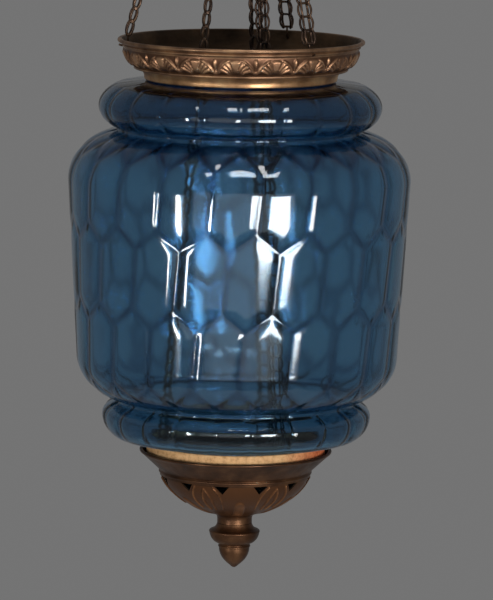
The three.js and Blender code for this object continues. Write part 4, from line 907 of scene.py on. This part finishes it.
def chain(name, kind, azimuth):
    """One run of chain. Outer runs go on round their pulley wheel and end in a hook in the rim."""
    outer = kind == "outer"
    foot = OUTER_FOOT if outer else INNER_FOOT
    inner_start = route(INNER_FOOT, -1)[2]
    at, length, _ = route(foot, 1, inner_start + 2 * math.pi) if outer else route(foot, -1)
    links = round(length / CHAIN_PITCH)
    pitch = length / links
    vertices, faces = [], []

    def add(piece):
        base = len(vertices)
        vertices.extend(piece[0])
        faces.extend(tuple(base + k for k in face) for face in piece[1])

    for i in range(links):
        start, end = at(i * pitch), at((i + 1) * pitch)
        middle = (start + end) / 2
        hub = Vector((PULLEY_CIRCLE, 0, PULLEY_Z))
        outward = middle - hub if middle.z > hub.z else Vector((1, 0, 0))
        near_wheel = middle.z > PULLEY_Z - 3 * CHAIN_PITCH
        for piece in ladder_link(start, end, outward, LOOP_ON_WHEEL if near_wheel else LOOP_WIDE):
            add(piece)
    if outer:
        half = CHAIN_WIDTH / 2 - CHAIN_WIRE
        add(wire([at(length) + Vector((0, side, 0)) for side in (-half, half)], CHAIN_WIRE))
        top = at(0)
        hole = RIM_Z - HOOK_HOLE_DEPTH
        hook = [top, (top.x, 0, RIM_Z - 1.5), (top.x + 0.3, 0, hole + 1.1), (top.x + 2, 0, hole),
                (87.0, 0, hole - 0.1), (88.5, 0, hole + 0.2), (89.9, 0, hole + 0.8)]
        add(wire(hook, HOOK_WIRE))
    spin = Matrix.Rotation(math.radians(azimuth), 4, "Z")
    placed = [spin @ v * MM for v in vertices]
    obj = make_object(f"chain_{kind}_{name}", placed, faces, chain_metal, sharp=70)
    dress(obj, "gallery" if outer else "cup", f"{kind}_chain_{name}")


# Pieces above the chains

def bell():
    """The bell that covers the pulleys."""
    low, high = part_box("canopy_bell")
    top, foot, mouth = RIM_Z - high.z / MM, RIM_Z - low.z / MM, high.x / MM
    waist = (BELL_WAIST, RIM_Z - PULLEY_Z)
    edge = (mouth - 0.8, foot - 0.8)
    outer = [
        (BELL_CROWN, top),
        *quarter((BELL_CROWN, top), waist, True, 2, 18),
        *quarter(waist, edge, False, 2, 18),
        *arc(edge, 0.8, -30, 90, 4),
    ]
    inner = inset(outer[:-5], SHEET)[1:]
    closed = [
        (SPIGOT_BORE, top),
        *outer,
        (mouth - 1.6, foot - 0.1),
        *reversed(inner),
        (SPIGOT_BORE, top + SHEET),
    ]
    obj = revolve("bell", closed, 128, aged_brass, sharp=45)
    dress(obj, "head", "canopy_bell")


def suspension_link():
    low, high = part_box("suspension_link")
    bpy.ops.mesh.primitive_torus_add(
        major_radius=LINK_BEND * MM, minor_radius=LINK_WIRE * MM, major_segments=48, minor_segments=14)
    obj = bpy.context.active_object
    obj.name = "link_ring"
    centre = Matrix.Translation((0, 0, (low.z + high.z) / 2))
    obj.data.transform(centre @ Matrix.Rotation(math.pi / 2, 4, "Y"))
    obj.data.materials.append(dark_brass)
    obj.data.polygons.foreach_set("use_smooth", [True] * len(obj.data.polygons))
    dress(obj, "link", "suspension_link")


gallery_ring()
glass_shade()
bottom_cup()
seat_ring()
finial()
for side_name, side_azimuth in CHAIN_AZIMUTHS.items():
    chain(side_name, "outer", side_azimuth)
    chain(side_name, "inner", side_azimuth)
bell()
suspension_link()

# CAD nodes that keep their own shape
for node, material in {
    "ceiling_plate": aged_brass, "hook_nut": aged_brass, "ceiling_hook": dark_brass,
    "canopy_loop": aged_brass, "pulley_frame": dark_brass, "split_ring": steel, "drip_pan": soot_and_painted_shade,
    "candle_nozzle": aged_brass, "threaded_rod": steel,
    **{f"pulley_pin_{name}": steel for name in CHAIN_AZIMUTHS},
    **{f"pulley_wheel_{name}": wheel_brass for name in CHAIN_AZIMUTHS},
    **{f"cup_lug_{name}": dark_brass for name in CHAIN_AZIMUTHS},
}.items():
    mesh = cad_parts[node].data
    mesh.materials.clear()
    mesh.materials.append(material)


# Surroundings

def surroundings():
    """A plain grey room and a pale floor below the lamp."""
    world = bpy.data.worlds.new("room")
    bpy.context.scene.world = world
    world.use_nodes = True
    tree = world.node_tree
    background = tree.nodes["Background"]
    path = tree.nodes.new("ShaderNodeLightPath")
    seen = path.outputs["Is Camera Ray"]
    for ray in ("Is Glossy Ray", "Is Transmission Ray"):
        either = tree.nodes.new("ShaderNodeMath")
        either.operation = "MAXIMUM"
        tree.links.new(seen, either.inputs[0])
        tree.links.new(path.outputs[ray], either.inputs[1])
        seen = either.outputs[0]
    colour = mix_colours(tree, seen, grey(ROOM_GREY), grey(BACKDROP_GREY))
    tree.links.new(colour, background.inputs["Color"])
    background.inputs["Strength"].default_value = 1

    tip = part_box("finial")[0].z
    bpy.ops.mesh.primitive_plane_add(size=FLOOR_SIZE * MM, location=(0, 0, tip - FLOOR_BELOW_TIP * MM))
    floor = bpy.context.active_object
    floor.name = "floor"
    material, tree, shader = new_material("floor_pale")
    pale = ramp(tree, noise(tree, 8), [(0.3, grey(0.52)), (0.7, grey(0.58))])
    tree.links.new(pale, shader.inputs["Base Color"])
    shader.inputs["Roughness"].default_value = 0.9
    floor.data.materials.append(material)


def softbox(name, azimuth, elevation, distance, size, power):
    """An area light that faces the middle of the glass. Its distance and size are in metres."""
    middle = Vector((0, 0, (RIM_Z - LIT_DEPTH) * MM))
    a, e = math.radians(azimuth), math.radians(elevation)
    back = Vector((math.sin(a) * math.cos(e), -math.cos(a) * math.cos(e), math.sin(e)))
    data = bpy.data.lights.new(name, "AREA")
    data.shape = "RECTANGLE"
    data.size, data.size_y = size
    data.energy = power
    light = bpy.data.objects.new(name, data)
    light.location = middle + back * distance
    light.rotation_mode = "QUATERNION"
    light.rotation_quaternion = (-back).to_track_quat("-Z", "Y")
    bpy.context.scene.collection.objects.link(light)


def camera():
    data = bpy.data.cameras.new("camera")
    data.sensor_fit = "VERTICAL"
    data.angle_y = math.radians(FIELD_OF_VIEW)
    obj = bpy.data.objects.new("camera", data)
    place = Vector((CAMERA_SIDE, -CAMERA_DISTANCE, RIM_Z + CAMERA_ABOVE_RIM)) * MM
    turn = (Matrix.Rotation(math.radians(90 - CAMERA_PITCH), 4, "X")
            @ Matrix.Rotation(math.radians(CAMERA_ROLL), 4, "Z"))
    obj.matrix_world = Matrix.Translation(place) @ turn
    bpy.context.scene.collection.objects.link(obj)
    bpy.context.scene.camera = obj


surroundings()
softbox("key", azimuth=24, elevation=-5.6, distance=2.4, size=(0.8, 0.67), power=40)
softbox("fill", azimuth=-40, elevation=-7, distance=2.6, size=(0.16, 0.66), power=17)
softbox("room", azimuth=4, elevation=-4, distance=3.8, size=(5.0, 1.8), power=24)
softbox("top", azimuth=10, elevation=60, distance=2.2, size=(0.9, 0.6), power=20)
camera()
bpy.context.scene.view_settings.view_transform = "Standard"

bpy.context.view_layer.update()
